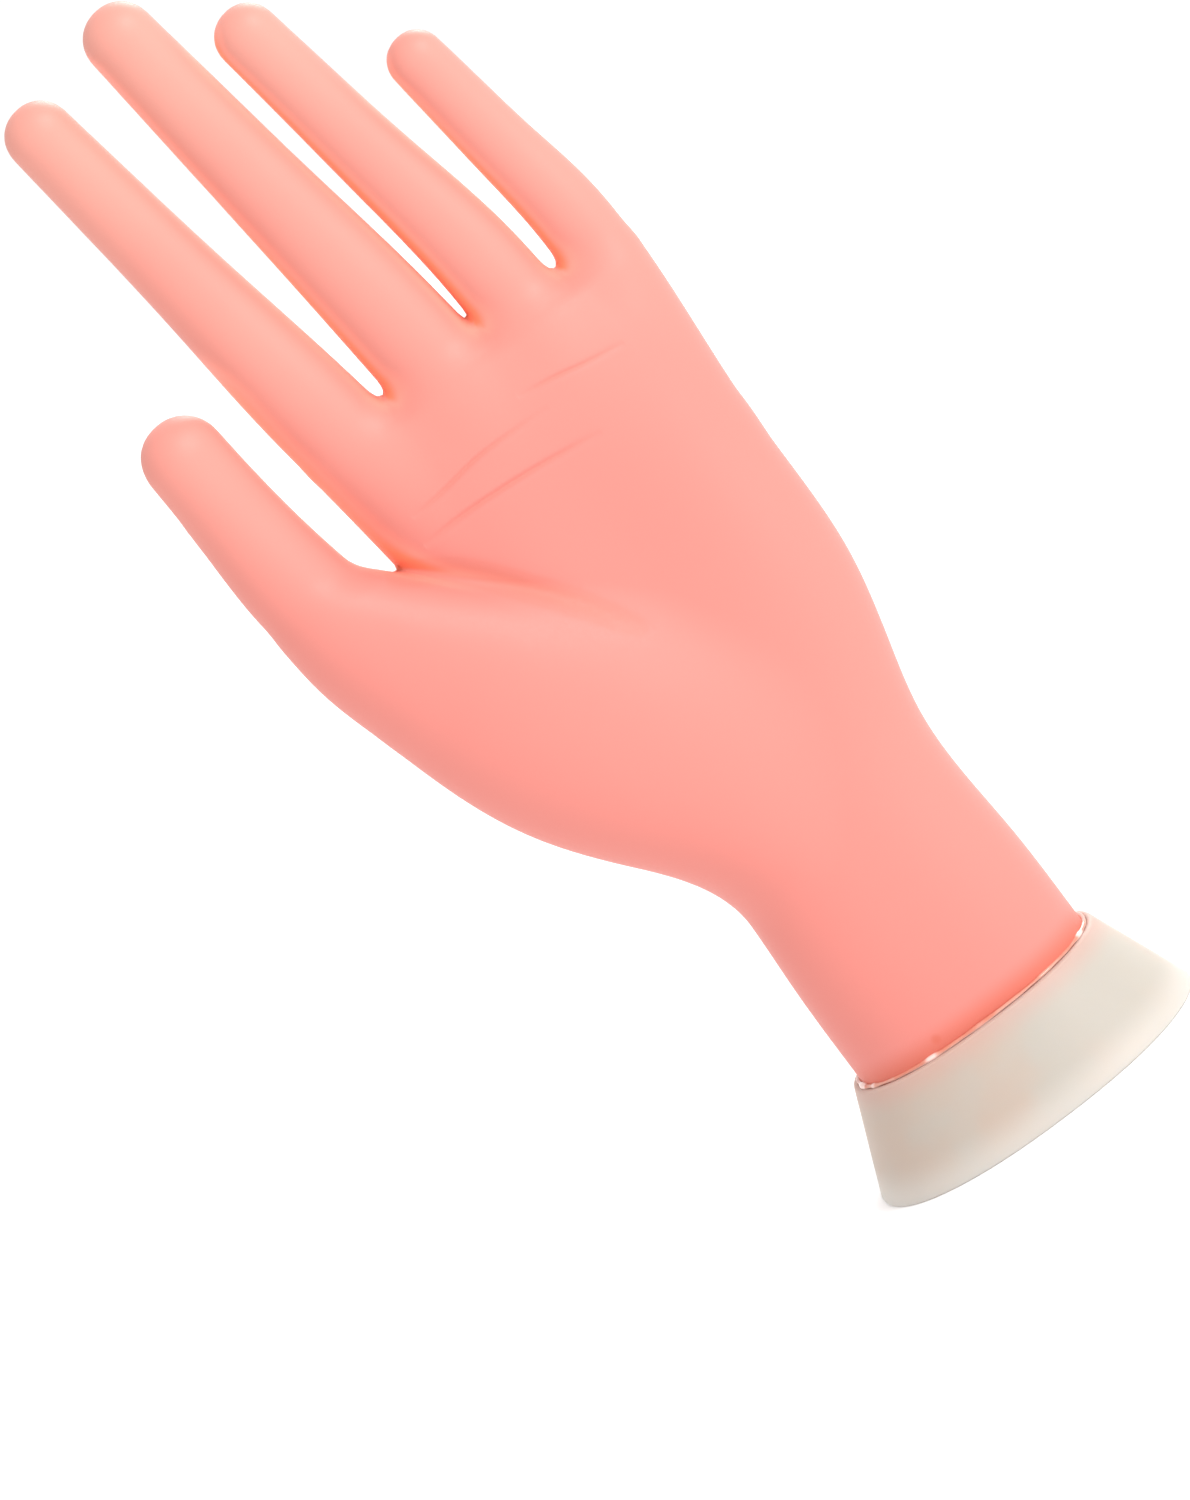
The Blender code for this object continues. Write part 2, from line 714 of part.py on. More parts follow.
def main():
    for obj in list(bpy.data.objects):
        bpy.data.objects.remove(obj)
    materials = {
        "skin": make_material("soft_vinyl_skin", (0.93, 0.40, 0.32), 0.45),
        "bone": make_material("skeleton_plastic", (0.78, 0.74, 0.66), 0.5),
        "steel": make_material("steel_pins", (0.62, 0.62, 0.64), 0.3, 1.0),
        "nail": make_material("nail_plastic", (0.90, 0.82, 0.76), 0.2),
        "base": make_material("ivory_plastic", (0.80, 0.74, 0.66), 0.4),
        "glue": make_material("clear_adhesive", (0.95, 0.72, 0.66), 0.12),
    }
    make_collar(materials["base"])
    make_plug(materials["base"])
    make_screw("frame_screw_left", -SCREW_X, materials["steel"])
    make_screw("frame_screw_right", SCREW_X, materials["steel"])
    make_adhesive_bead(materials["glue"])
    make_palm_frame(materials["bone"])
    make_palm_skin(materials["skin"])
    for name, finger in FINGERS.items():
        make_finger(name, finger, materials)


main()
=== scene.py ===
"""Looks for the left practice hand: one seamless soft vinyl skin over the jointed frame.

The skin is a smooth solid described by a distance-like field in millimetres, built from the
frame's joints. It is turned into a mesh once, then parted into a palm piece and one piece
for each finger joint, cut in the middle of each link and where the finger's own skin starts.
"""

import json
import math

import bmesh
import bpy
import numpy as np
from mathutils import Matrix, Vector


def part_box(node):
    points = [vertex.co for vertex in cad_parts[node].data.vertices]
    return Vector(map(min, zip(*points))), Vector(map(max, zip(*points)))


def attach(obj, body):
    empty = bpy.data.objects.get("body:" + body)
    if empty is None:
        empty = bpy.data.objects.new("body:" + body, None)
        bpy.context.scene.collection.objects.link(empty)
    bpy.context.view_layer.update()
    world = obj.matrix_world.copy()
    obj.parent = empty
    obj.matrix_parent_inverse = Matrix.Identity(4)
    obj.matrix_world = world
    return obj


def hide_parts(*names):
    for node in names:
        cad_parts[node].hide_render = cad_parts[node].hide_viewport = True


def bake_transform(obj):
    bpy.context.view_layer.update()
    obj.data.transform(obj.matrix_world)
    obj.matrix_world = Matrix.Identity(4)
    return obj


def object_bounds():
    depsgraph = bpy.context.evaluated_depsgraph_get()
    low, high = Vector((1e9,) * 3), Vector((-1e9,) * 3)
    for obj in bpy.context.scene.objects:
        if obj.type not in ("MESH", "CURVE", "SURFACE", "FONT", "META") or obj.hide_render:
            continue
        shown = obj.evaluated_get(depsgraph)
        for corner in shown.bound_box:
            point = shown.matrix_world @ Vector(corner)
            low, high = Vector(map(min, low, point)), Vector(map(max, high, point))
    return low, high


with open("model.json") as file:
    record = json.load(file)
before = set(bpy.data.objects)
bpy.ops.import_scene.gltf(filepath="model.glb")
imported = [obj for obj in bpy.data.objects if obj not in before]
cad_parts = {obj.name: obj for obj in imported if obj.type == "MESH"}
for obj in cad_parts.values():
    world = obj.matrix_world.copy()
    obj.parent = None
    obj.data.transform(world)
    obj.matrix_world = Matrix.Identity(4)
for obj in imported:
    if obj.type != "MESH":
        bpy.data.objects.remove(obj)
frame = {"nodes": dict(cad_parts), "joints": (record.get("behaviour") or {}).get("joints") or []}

CAD_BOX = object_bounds()
MM = 0.001
JOINTS = {joint["name"]: joint for joint in frame["joints"]}

# ---------------------------------------------------------------- driving dimensions, mm

# The grid that the skin is polygonised on, the skin's wall, the height of its open lower end
# and how far past the CAD box the grid reaches.
GRID = 1.0
WALL = 1.6
LOWEST_SKIN = 7.0
GRID_MARGIN = 3.0

# For each finger: how many links it has, its half widths at its hinges and at the tip's centre,
# as in the CAD model, how far below the first hinge its own skin starts, and the nail's length.
FINGERS = {
    "index": {"links": 3, "half_widths": (7.65, 6.5, 5.8, 5.4), "root_seam": 8.6, "nail": 10.5},
    "middle": {"links": 3, "half_widths": (7.85, 6.9, 6.2, 5.7), "root_seam": 8.8, "nail": 11.0},
    "ring": {"links": 3, "half_widths": (6.65, 5.85, 5.35, 5.1), "root_seam": 7.8, "nail": 9.6},
    "little": {"links": 3, "half_widths": (5.75, 5.2, 4.85, 4.6), "root_seam": 8.2, "nail": 7.6},
    "thumb": {"links": 2, "half_widths": (8.2, 7.1, 6.7), "root_seam": 6.6, "nail": 11.0},
}
LINK_NAMES = {2: ("proximal", "distal"), 3: ("proximal", "middle", "distal")}
ROUNDNESS = 0.92
FINGER_POWER = 2.1

# Where the centre line of each finger starts inside the palm: x, y, z and half width there.
FINGER_FEET = {
    "index": (-20.4, 0.8, 116.0, 7.3),
    "middle": (-5.6, 0.8, 116.0, 8.0),
    "ring": (7.6, 0.8, 116.0, 7.2),
    "little": (19.2, 1.0, 116.0, 6.0),
}
THUMB_FOOT = (-38.6, -4.6, 110.0, 8.2)
FOOT_REACH = 9.0

# Palm and wrist: height, left edge, right edge, palm side, back.
PALM = (
    (0.0, -21.4, 21.5, -16.2, 16.2),
    (20.0, -21.4, 21.4, -16.0, 16.0),
    (36.0, -21.2, 21.1, -15.4, 15.5),
    (50.0, -20.6, 20.2, -14.3, 14.6),
    (60.0, -21.0, 20.6, -13.5, 14.0),
    (72.0, -22.8, 23.3, -12.8, 13.6),
    (86.0, -25.2, 26.4, -12.2, 13.3),
    (104.0, -27.6, 27.2, -11.6, 13.2),
    (122.0, -29.7, 27.2, -10.8, 12.8),
    (136.0, -30.2, 27.2, -9.4, 11.4),
    (146.0, -30.2, 27.0, -7.0, 9.0),
)
PALM_POWER = 2.35
PALM_TOP = 143.0
PALM_TOP_REACH = 5.2

# The thumb's ball and root, in level slices: height, left edge, right edge, palm side, back.
THUMB_BALL = (
    (46.0, -11.0, -7.0, -4.0, 1.5),
    (56.0, -19.6, -2.5, -11.6, 7.0),
    (66.0, -28.2, 2.0, -15.2, 8.8),
    (80.0, -38.6, 2.5, -17.0, 8.8),
    (94.0, -44.9, -2.5, -16.8, 8.0),
    (108.0, -49.0, -11.0, -15.6, 6.8),
    (120.0, -51.8, -24.0, -14.2, 5.6),
    (133.5, -51.0, -38.0, -11.6, 3.8),
)
THUMB_BALL_POWER = 2.05
THUMB_BALL_TOP = 127.2
THUMB_BALL_REACH = 8.0

# Fillets between the solids. The thumb's is a sharp fold at its web and fades to a broad one
# down the palm: WEB_FOLD and WEB_FADE give the height and the size at each end.
FINGER_FILLET = 1.6
PALM_FILLET = 4.0
THUMB_FILLET = 3.0
WEB_FOLD = (121.0, 2.0)
WEB_FADE = (98.0, 8.0)


def spline(at, values):
    """A natural cubic spline through values, as a function that also takes arrays."""
    x = np.asarray(at, float)
    y = np.asarray(values, float)
    gap = np.diff(x)
    slope = np.diff(y) / gap
    count = len(x)
    system = np.eye(count)
    right = np.zeros(count)
    for i in range(1, count - 1):
        system[i, i - 1 : i + 2] = gap[i - 1], 2 * (gap[i - 1] + gap[i]), gap[i]
        right[i] = 6 * (slope[i] - slope[i - 1])
    bend = np.linalg.solve(system, right)

    def value(points):
        p = np.clip(points, x[0], x[-1])
        i = np.clip(np.searchsorted(x, p) - 1, 0, count - 2)
        a = (x[i + 1] - p) / gap[i]
        b = 1 - a
        curve = ((a**3 - a) * bend[i] + (b**3 - b) * bend[i + 1]) * gap[i] ** 2 / 6
        return a * y[i] + b * y[i + 1] + curve

    return value


def ramp(value, start, end):
    """0 before start, 1 after end and a smooth step between them."""
    t = np.clip((value - start) / (end - start), 0, 1)
    return t * t * (3 - 2 * t)


# ---------------------------------------------------------------- fields

TINY = 1e-9


def superellipse(u, v, half_u, half_v, power, w, half_w):
    """A first-order distance to an oval of half sizes half_u and half_v, domed where w > 0."""
    a, b, c = abs(u) / half_u, abs(v) / half_v, np.maximum(w, 0) / half_w
    g = np.maximum(a**power + b**power + c**power, TINY) ** (1 / power)
    halves = ((a, half_u), (b, half_v), (c, half_w))
    slopes = [(part / g) ** (power - 1) / half for part, half in halves]
    return (g - 1) / np.sqrt(slopes[0] ** 2 + slopes[1] ** 2 + slopes[2] ** 2)


def merge(a, b, size):
    """The union of two fields, with a fillet of about this size."""
    h = np.clip(0.5 + 0.5 * (b - a) / size, 0, 1)
    return b + (a - b) * h - size * h * (1 - h)


def carve(a, b, size):
    """Field a with the solid b cut out, with softened edges."""
    return -merge(-a, b, size)


class Slices:
    """A column given by its outline in level slices: height, left, right, palm side, back."""

    def __init__(self, stations, power):
        z, *edges = zip(*stations)
        self.edges = [spline(z, edge) for edge in edges]
        self.power = power

    def __call__(self, p, top, reach):
        """The field, with a dome of this reach over the height top."""
        x, y, z = p[..., 0], p[..., 1], p[..., 2]
        left, right, front, back = (edge(z) for edge in self.edges)
        u, v = x - (left + right) / 2, y - (front + back) / 2
        half_u, half_v = (right - left) / 2, (back - front) / 2
        return superellipse(u, v, half_u, half_v, self.power, z - top, reach)


class Finger:
    """One finger's frame, taken from its joints, and its field."""

    def __init__(self, name, spec):
        self.name = name
        self.parts = LINK_NAMES[spec["links"]]
        joints = [JOINTS[f"{name}_{part}_bend"] for part in self.parts]
        self.hinges = [np.array(j["pos_m"]) / MM for j in joints]
        sign = -1 if name == "thumb" else 1
        self.pins = [sign * np.array(j["axis"]) for j in joints]
        self.end_axis = np.array(JOINTS[f"{name}_nail_slide"]["axis"])
        self.end_back = np.cross(self.end_axis, self.pins[-1])
        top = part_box(f"{name}_distal_skin")[1][2] / MM
        self.end_length = (top - self.hinges[-1][2]) / self.end_axis[2]
        self.origin = self.hinges[0]
        along = self.hinges[-1] + self.end_axis * self.end_length - self.origin
        self.along = along / np.linalg.norm(along)
        self.across = self.pins[0] - self.along * (self.pins[0] @ self.along)
        self.across /= np.linalg.norm(self.across)
        self.back = np.cross(self.along, self.across)
        self.half_widths = spec["half_widths"]
        self.root_seam = spec["root_seam"]
        self.nail_length = spec["nail"]
        self.tip_radius = self.half_widths[-1]
        self.shape_centre_line()

    def local(self, p):
        q = p - self.origin
        return q @ self.across, q @ self.back, q @ self.along

    def at_end(self, p):
        """Across, back and along in the last link's own frame."""
        q = p - self.hinges[-1]
        return q @ self.pins[-1], q @ self.end_back, q @ self.end_axis

    def shape_centre_line(self):
        tip_centre = self.hinges[-1] + self.end_axis * (self.end_length - self.tip_radius)
        *foot, width = FINGER_FEET.get(self.name, THUMB_FOOT)
        points = [np.array(foot), *self.hinges, tip_centre]
        widths = [width, *self.half_widths]
        u, v, s = np.array([self.local(p) for p in points]).T
        self.centre_u, self.centre_v = spline(s, u), spline(s, v)
        self.half_width = spline(s, widths)
        self.lowest, self.tip_centre = s[0], s[-1]
        self.hinge_s = list(s[1:-1])

    def field(self, p):
        u, v, s = self.local(p)
        half = self.half_width(s)
        u = u - self.centre_u(s)
        v = v - self.centre_v(s)
        w = np.where(s > 0, s - self.tip_centre, self.lowest - s)
        reach = np.where(s > 0, self.tip_radius, FOOT_REACH)
        return superellipse(u, v, half, half * ROUNDNESS, FINGER_POWER, w, reach)


fingers = {name: Finger(name, spec) for name, spec in FINGERS.items()}
palm = Slices(PALM, PALM_POWER)
thumb_ball = Slices(THUMB_BALL, THUMB_BALL_POWER)


def smooth_hand(p):
    """The hand without its fine features: under 0 inside, over 0 outside, in about millimetres."""
    body = palm(p, PALM_TOP, PALM_TOP_REACH)
    rows = None
    for name in FINGER_FEET:
        field = fingers[name].field(p)
        rows = field if rows is None else merge(rows, field, FINGER_FILLET)
    hand = merge(body, rows, PALM_FILLET)
    ball = thumb_ball(p, THUMB_BALL_TOP, THUMB_BALL_REACH)
    thumb = merge(ball, fingers["thumb"].field(p), THUMB_FILLET)
    fade = ramp(p[..., 2], WEB_FADE[0], WEB_FOLD[0])
    return merge(hand, thumb, WEB_FADE[1] + (WEB_FOLD[1] - WEB_FADE[1]) * fade)


# ---------------------------------------------------------------- fine features of the skin

# Broad hills and hollows: centre, radii, height.
RELIEF = (
    ((-3.0, -12.0, 110.0), (12.0, 9.0, 16.0), -1.3),
    ((18.0, -12.0, 92.0), (10.0, 9.0, 26.0), 0.7),
    ((-24.0, -9.0, 138.5), (6.5, 7.0, 7.0), 0.35),
    ((-8.0, -9.0, 139.5), (6.5, 7.0, 7.0), 0.35),
    ((8.0, -9.0, 139.0), (6.0, 7.0, 7.0), 0.35),
    ((21.5, -8.0, 135.5), (6.0, 7.0, 7.0), 0.35),
    ((-22.8, 12.0, 131.0), (6.0, 8.0, 7.5), 1.1),
    ((-7.0, 13.0, 133.0), (6.2, 8.0, 7.5), 1.2),
    ((8.6, 12.5, 131.5), (5.6, 8.0, 7.0), 1.1),
    ((21.4, 11.0, 127.5), (5.0, 8.0, 6.5), 1.0),
    ((-15.0, 12.0, 134.0), (2.6, 8.0, 8.0), -0.7),
    ((0.9, 12.0, 134.0), (2.4, 8.0, 8.0), -0.7),
    ((15.4, 11.0, 131.0), (2.2, 8.0, 7.0), -0.6),
)

# Ridges of the tendons on the back of the hand, from the wrist to each knuckle: x, z.
TENDON_ROOT = (0.5, 76.0)
TENDON_HEADS = ((-22.0, 124.0), (-6.8, 126.0), (8.2, 124.5), (20.6, 120.5))
TENDON_HEIGHT = 0.45
TENDON_WIDTH = 2.6

# Creases of the palm: points of each line as x, z, then its depth and half width. The last one
# is the broad fold round the thumb's ball.
PALM_CREASES = (
    (((-0.7, 137.7), (5.3, 136.9), (10.3, 135.8), (17.3, 134.5)), 0.3, 0.45),
    (((-24.5, 132.4), (-18.7, 133.0), (-13.0, 133.9), (-7.3, 134.2), (2.2, 133.8)), 0.32, 0.45),
    (((-25.6, 127.8), (-18.6, 128.3), (-10.2, 128.0), (-2.1, 127.2), (6.4, 125.9)), 0.44, 0.55),
    (
        (
            (-33.8, 127.9),
            (-27.7, 124.6),
            (-22.6, 120.8),
            (-18.0, 115.1),
            (-13.4, 109.0),
            (-9.4, 102.9),
            (-5.8, 96.9),
        ),
        0.4,
        1.8,
    ),
)

# Wrinkles over the finger joints, in millimetres from each hinge. They bow away from it.
WRINKLES = (-2.1, -0.7, 0.8, 2.2)
WRINKLE_DEPTH = 0.3
WRINKLE_WIDTH = 0.45
WRINKLE_BOW = 1.3
WRINKLE_SPREAD = 0.62
WRINKLE_REACH = 6.0

# The nail plate, in the last link's frame, as in the CAD model.
NAIL_THICKNESS = 0.7
NAIL_HALF_ANGLE = math.radians(48)
NAIL_SLOT_DEPTH = 2.4
NAIL_END_INSET = 1.0
NAIL_SAG = 1.0
BED_GAP = 0.18
BED_EDGE = 0.2
BED_ROUNDING = 0.3
FLAT_DEPTH = 0.72
FLAT_LENGTH = 3.5
FOLD_HEIGHT = 0.28
FOLD_WIDTH = 0.9
FOLD_OFFSET = 0.5


class Line:
    """A smooth line in the X-Z plane, as short straight runs."""

    def __init__(self, points, runs=20):
        at = np.linspace(0, 1, len(points))
        x, z = zip(*points)
        t = np.linspace(0, 1, runs + 1)
        path = np.stack([spline(at, x)(t), spline(at, z)(t)], axis=1)
        self.start = path[:-1]
        self.run = np.diff(path, axis=0)
        self.low, self.high = path.min(axis=0), path.max(axis=0)

    def nearest(self, p):
        """Distance to the line in the plane, and how far along it that is, from 0 to 1."""
        q = p[:, None, [0, 2]] - self.start
        t = np.clip((q * self.run).sum(axis=2) / (self.run**2).sum(axis=1), 0, 1)
        gap = np.linalg.norm(q - self.run * t[..., None], axis=2)
        best = gap.argmin(axis=1)
        rows = np.arange(len(p))
        return gap[rows, best], (best + t[rows, best]) / len(self.run)

    def ridge(self, p, width, side):
        """1 on the line, falling to 0 across it and at its ends, on one side of the hand."""
        out = np.zeros(len(p))
        reach = 3 * width
        near = (p[:, 1] * side > 1.0) & (p[:, [0, 2]] > self.low - reach).all(axis=1)
        near &= (p[:, [0, 2]] < self.high + reach).all(axis=1)
        if near.any():
            gap, share = self.nearest(p[near])
            out[near] = np.exp(-((gap / width) ** 2)) * (4 * share * (1 - share)) ** 0.6
        return out


creases = [(Line(points), depth, width) for points, depth, width in PALM_CREASES]
tendons = [Line((TENDON_ROOT, head)) for head in TENDON_HEADS]


def relief(p):
    """How far the skin stands proud of the smooth hand."""
    out = np.zeros(len(p))
    for centre, radii, height in RELIEF:
        q = (p - np.array(centre)) / np.array(radii)
        out += height * np.exp(-(q**2).sum(axis=1))
    for line in tendons:
        out += TENDON_HEIGHT * line.ridge(p, TENDON_WIDTH, 1)
    for line, depth, width in creases:
        out -= depth * line.ridge(p, width, -1)
    return out


def wrinkle_field(finger, p):
    """How deep the wrinkles over the finger's joints are."""
    u, v, s = finger.local(p)
    out = np.zeros(len(p))
    for hinge in finger.hinge_s[1:]:
        near = (abs(s - hinge) < WRINKLE_REACH) & (v > 0) & (abs(u) < 2 * WRINKLE_REACH)
        if not near.any():
            continue
        half = finger.half_width(hinge)
        across = (u[near] - finger.centre_u(hinge)) / half
        fade = np.exp(-((across / WRINKLE_SPREAD) ** 2)) * ramp(v[near] / half, 0.1, 0.6)
        for place in WRINKLES:
            bow = place + WRINKLE_BOW * np.sign(place) * across**2
            gap = (s[near] - hinge - bow) / WRINKLE_WIDTH
            out[near] += WRINKLE_DEPTH * fade * np.exp(-(gap**2))
    return out


class Nail:
    """The nail plate of one finger, in its last link's frame."""

    def __init__(self, finger):
        tip = finger.tip_radius
        self.finger = finger
        self.outer = 0.92 * tip
        self.inner = self.outer - NAIL_THICKNESS
        self.centre = 0.84 * ROUNDNESS * tip - self.outer
        self.cuticle = finger.end_length - NAIL_END_INSET - finger.nail_length
        self.low = self.cuticle - NAIL_SLOT_DEPTH
        self.end_centre = finger.end_length - tip
        self.end_radius = tip - NAIL_END_INSET

    def sag(self, s):
        """How far the plate curves down towards its free edge."""
        start = self.cuticle + 0.3 * self.finger.nail_length
        share = np.maximum(s - start, 0) / (self.end_centre + self.end_radius - start)
        return NAIL_SAG * share**2

    def coordinates(self, p):
        """Arc length across, height over the plate's inside, and along."""
        u, v, s = self.finger.at_end(p)
        radius = np.hypot(u, v - self.centre)
        return np.arctan2(u, v - self.centre) * self.outer, radius - self.inner + self.sag(s), s

    def outline(self, across, s):
        """A distance in the plate's own surface to its outline: under 0 over the nail."""
        half = self.outer * NAIL_HALF_ANGLE + BED_EDGE
        root = self.cuticle + 0.5 * half
        side = abs(across) - half
        low = np.hypot(across / half, np.maximum(root - s, 0) / (root - self.cuticle)) - 1
        low = low * (root - self.cuticle)
        return np.where(s < root, np.maximum(low, side), side)

    def bed(self, p):
        """The space that the plate lies in, with a gap under it."""
        across, height, s = self.coordinates(p)
        return np.maximum(self.outline(across, s), -height - BED_GAP)

    def shape(self, p):
        """How far the skin stands proud here: flatter over the nail, with a soft fold round it."""
        across, _, s = self.coordinates(p)
        gap = self.outline(across, s)
        fade = 1 - ramp(s, self.end_centre - 3, self.end_centre + 1)
        fold = FOLD_HEIGHT * np.exp(-(((gap - FOLD_OFFSET) / FOLD_WIDTH) ** 2)) * fade
        flat = ramp(s, self.cuticle - FLAT_LENGTH, self.cuticle + 1)
        flat = flat * (1 - ramp(abs(across), 0.8 * self.outer, 1.3 * self.outer))
        flat = flat * (1 - ramp(s, self.end_centre, self.end_centre + self.end_radius))
        return fold - FLAT_DEPTH * flat


nails = {name: Nail(finger) for name, finger in fingers.items()}


def near_end(finger, p):
    """Whether each point lies near the back of the last link, where the nail can shape it."""
    u, v, s = finger.at_end(p)
    along = (s > -4) & (s < finger.end_length + 2)
    return along & (v > -1) & (np.hypot(u, v) < 1.25 * finger.tip_radius)


def skin_field(p):
    """The skin's outside with all of its features."""
    field = smooth_hand(p) - relief(p)
    for name, finger in fingers.items():
        field += wrinkle_field(finger, p)
        near = near_end(finger, p)
        if near.any():
            q = p[near]
            shaped = field[near] - nails[name].shape(q)
            field[near] = carve(shaped, nails[name].bed(q), BED_ROUNDING)
    return field


# The thumb's fold is fine down to this height and broad below it.
FOLD_END = 110.0

# No feature is further off than FAR, and the wrinkles lie within AROUND of a finger's line.
FAR = 9.0
AROUND = 13.0


def fineness(p):
    """Distance to the nearest fine feature, in millimetres."""
    best = np.full(len(p), FAR)
    palm_side = p[:, 1] < -2
    for line, _, width in creases:
        lowest = max(line.low[1] - 3, FOLD_END)
        near = palm_side & (p[:, 2] > lowest) & (p[:, 2] < line.high[1] + 3)
        if near.any():
            gap = line.nearest(p[near])[0] - max(width - 0.6, 0)
            best[near] = np.minimum(best[near], gap)
    for name, finger in fingers.items():
        u, v, s = finger.local(p)
        on_back = (v > 1.0) & (np.hypot(u, v) < AROUND)
        for hinge in finger.hinge_s[1:]:
            gap = np.maximum(abs(s - hinge) - WRINKLES[-1], 0)
            best = np.where(on_back, np.minimum(best, gap), best)
        near = near_end(finger, p)
        if near.any():
            across, _, along = nails[name].coordinates(p[near])
            edge = abs(nails[name].outline(across, along))
            best[near] = np.minimum(best[near], edge)
    return best


# ---------------------------------------------------------------- polygonising


def corners_of(cells, shape):
    """Flat indices of the eight corners of each cell."""
    offsets = np.array([(i, j, k) for i in (0, 1) for j in (0, 1) for k in (0, 1)])
    index = cells[:, None, :] + offsets[None]
    return np.ravel_multi_index(np.moveaxis(index, -1, 0), shape)


def mixed_cells(inside):
    """The cells that have corners on both sides of the surface."""
    shape = inside.shape
    some = inside[:-1, :-1, :-1].copy()
    every = some.copy()
    for i in (0, 1):
        for j in (0, 1):
            for k in (0, 1):
                ends = (shape[0] - 1 + i, shape[1] - 1 + j, shape[2] - 1 + k)
                part = inside[i : ends[0], j : ends[1], k : ends[2]]
                some |= part
                every &= part
    return np.argwhere(some & ~every)


def crossings(values, places, corners):
    """One point for each cell: the middle of where its edges cross the surface."""
    f = values[corners]
    total = np.zeros((len(corners), 3))
    count = np.zeros(len(corners))
    for a in range(8):
        for b in (a ^ 1, a ^ 2, a ^ 4):
            if b < a:
                continue
            cross = (f[:, a] < 0) != (f[:, b] < 0)
            t = f[cross, a] / (f[cross, a] - f[cross, b])
            start, end = places[corners[cross, a]], places[corners[cross, b]]
            total[cross] += start + (end - start) * t[:, None]
            count[cross] += 1
    return total / count[:, None]


def quads_along(axis, inside, number):
    """The quads round the grid edges of one direction that cross the surface, facing out."""
    a, b = [i for i in range(3) if i != axis]
    low_side = np.moveaxis(inside, axis, 0)[:-1]
    high_side = np.moveaxis(inside, axis, 0)[1:]
    quads = []
    for leaving in (True, False):
        edge = (low_side & ~high_side) if leaving else (~low_side & high_side)
        found = np.argwhere(edge)
        index = np.empty_like(found)
        index[:, axis] = found[:, 0]
        index[:, a] = found[:, 1]
        index[:, b] = found[:, 2]
        ring = []
        for da, db in ((-1, -1), (0, -1), (0, 0), (-1, 0)):
            cell = index.copy()
            cell[:, a] += da
            cell[:, b] += db
            ok = ((cell >= 0) & (cell < np.array(number.shape))).all(axis=1)
            picked = np.full(len(cell), -1)
            picked[ok] = number[tuple(cell[ok].T)]
            ring.append(picked)
        quad = np.stack(ring, axis=1)
        quad = quad[(quad >= 0).all(axis=1)]
        quads.append(quad[:, ::-1] if leaving == (axis == 1) else quad)
    return np.concatenate(quads)


def surface_nets(field, low, high, step):
    """Points and outward quads where the field crosses zero inside a box."""
    axes = [np.arange(a, b + step, step) for a, b in zip(low, high)]
    grid = np.stack(np.meshgrid(*axes, indexing="ij"), axis=-1)
    shape = grid.shape[:3]
    places = grid.reshape(-1, 3)
    values = field(places)
    inside = (values < 0).reshape(shape)
    cells = mixed_cells(inside)
    number = np.full([n - 1 for n in shape], -1)
    number[tuple(cells.T)] = np.arange(len(cells))
    points = crossings(values, places, corners_of(cells, shape))
    return points, np.concatenate([quads_along(axis, inside, number) for axis in range(3)])


def gradient(field, points, step=0.05):
    slopes = []
    for axis in range(3):
        shift = np.zeros(3)
        shift[axis] = step
        slopes.append((field(points + shift) - field(points - shift)) / (2 * step))
    return np.stack(slopes, axis=-1)


def project(field, points, steps=2, longest=0.6, flattest=0.05):
    """Moves points down the field's slope onto its zero surface."""
    for _ in range(steps):
        slope = gradient(field, points)
        size = np.maximum((slope**2).sum(axis=1), flattest)
        move = -slope * (field(points) / size)[:, None]
        length = np.linalg.norm(move, axis=1, keepdims=True)
        points = points + move * np.minimum(1, longest / np.maximum(length, TINY))
    return points


def settle(field, points, normals, low=-2.4, high=0.9, steps=12):
    """Moves points along their normals onto the field's surface, by halving its range."""
    inner, outer = np.full(len(points), low), np.full(len(points), high)
    for _ in range(steps):
        middle = (inner + outer) / 2
        outside = field(points + normals * middle[:, None]) > 0
        outer = np.where(outside, middle, outer)
        inner = np.where(outside, inner, middle)
    return points + normals * ((inner + outer) / 2)[:, None]


def normals_of(field, points):
    slope = gradient(field, points)
    return slope / np.linalg.norm(slope, axis=1)[:, None]


def refined(points, quads, reaches=(1.9, 1.1, 0.32)):
    """The mesh with its edges halved near the fine features, once for each reach, as triangles."""
    bm = bmesh.new()
    corners = [bm.verts.new(p) for p in points.tolist()]
    for quad in quads.tolist():
        bm.faces.new([corners[i] for i in quad])
    for reach in reaches:
        places = np.array([v.co for v in bm.verts])
        close = fineness(places) < reach
        bm.verts.index_update()
        edges = [e for e in bm.edges if close[e.verts[0].index] or close[e.verts[1].index]]
        bmesh.ops.subdivide_edges(bm, edges=edges, cuts=1, use_grid_fill=True)
    bmesh.ops.triangulate(bm, faces=bm.faces)
    bm.verts.index_update()
    places = np.array([v.co for v in bm.verts])
    triangles = np.array([[v.index for v in f.verts] for f in bm.faces])
    bm.free()
    return places, triangles


# ---------------------------------------------------------------- pieces


def new_piece(name, points, faces, normals=None):
    mesh = bpy.data.meshes.new(name)
    mesh.from_pydata((points * MM).tolist(), [], [tuple(f) for f in faces])
    mesh.shade_smooth()
    if normals is not None:
        mesh.normals_split_custom_set_from_vertices(normals.tolist())
    obj = bpy.data.objects.new(name, mesh)
    bpy.context.scene.collection.objects.link(obj)
    return obj


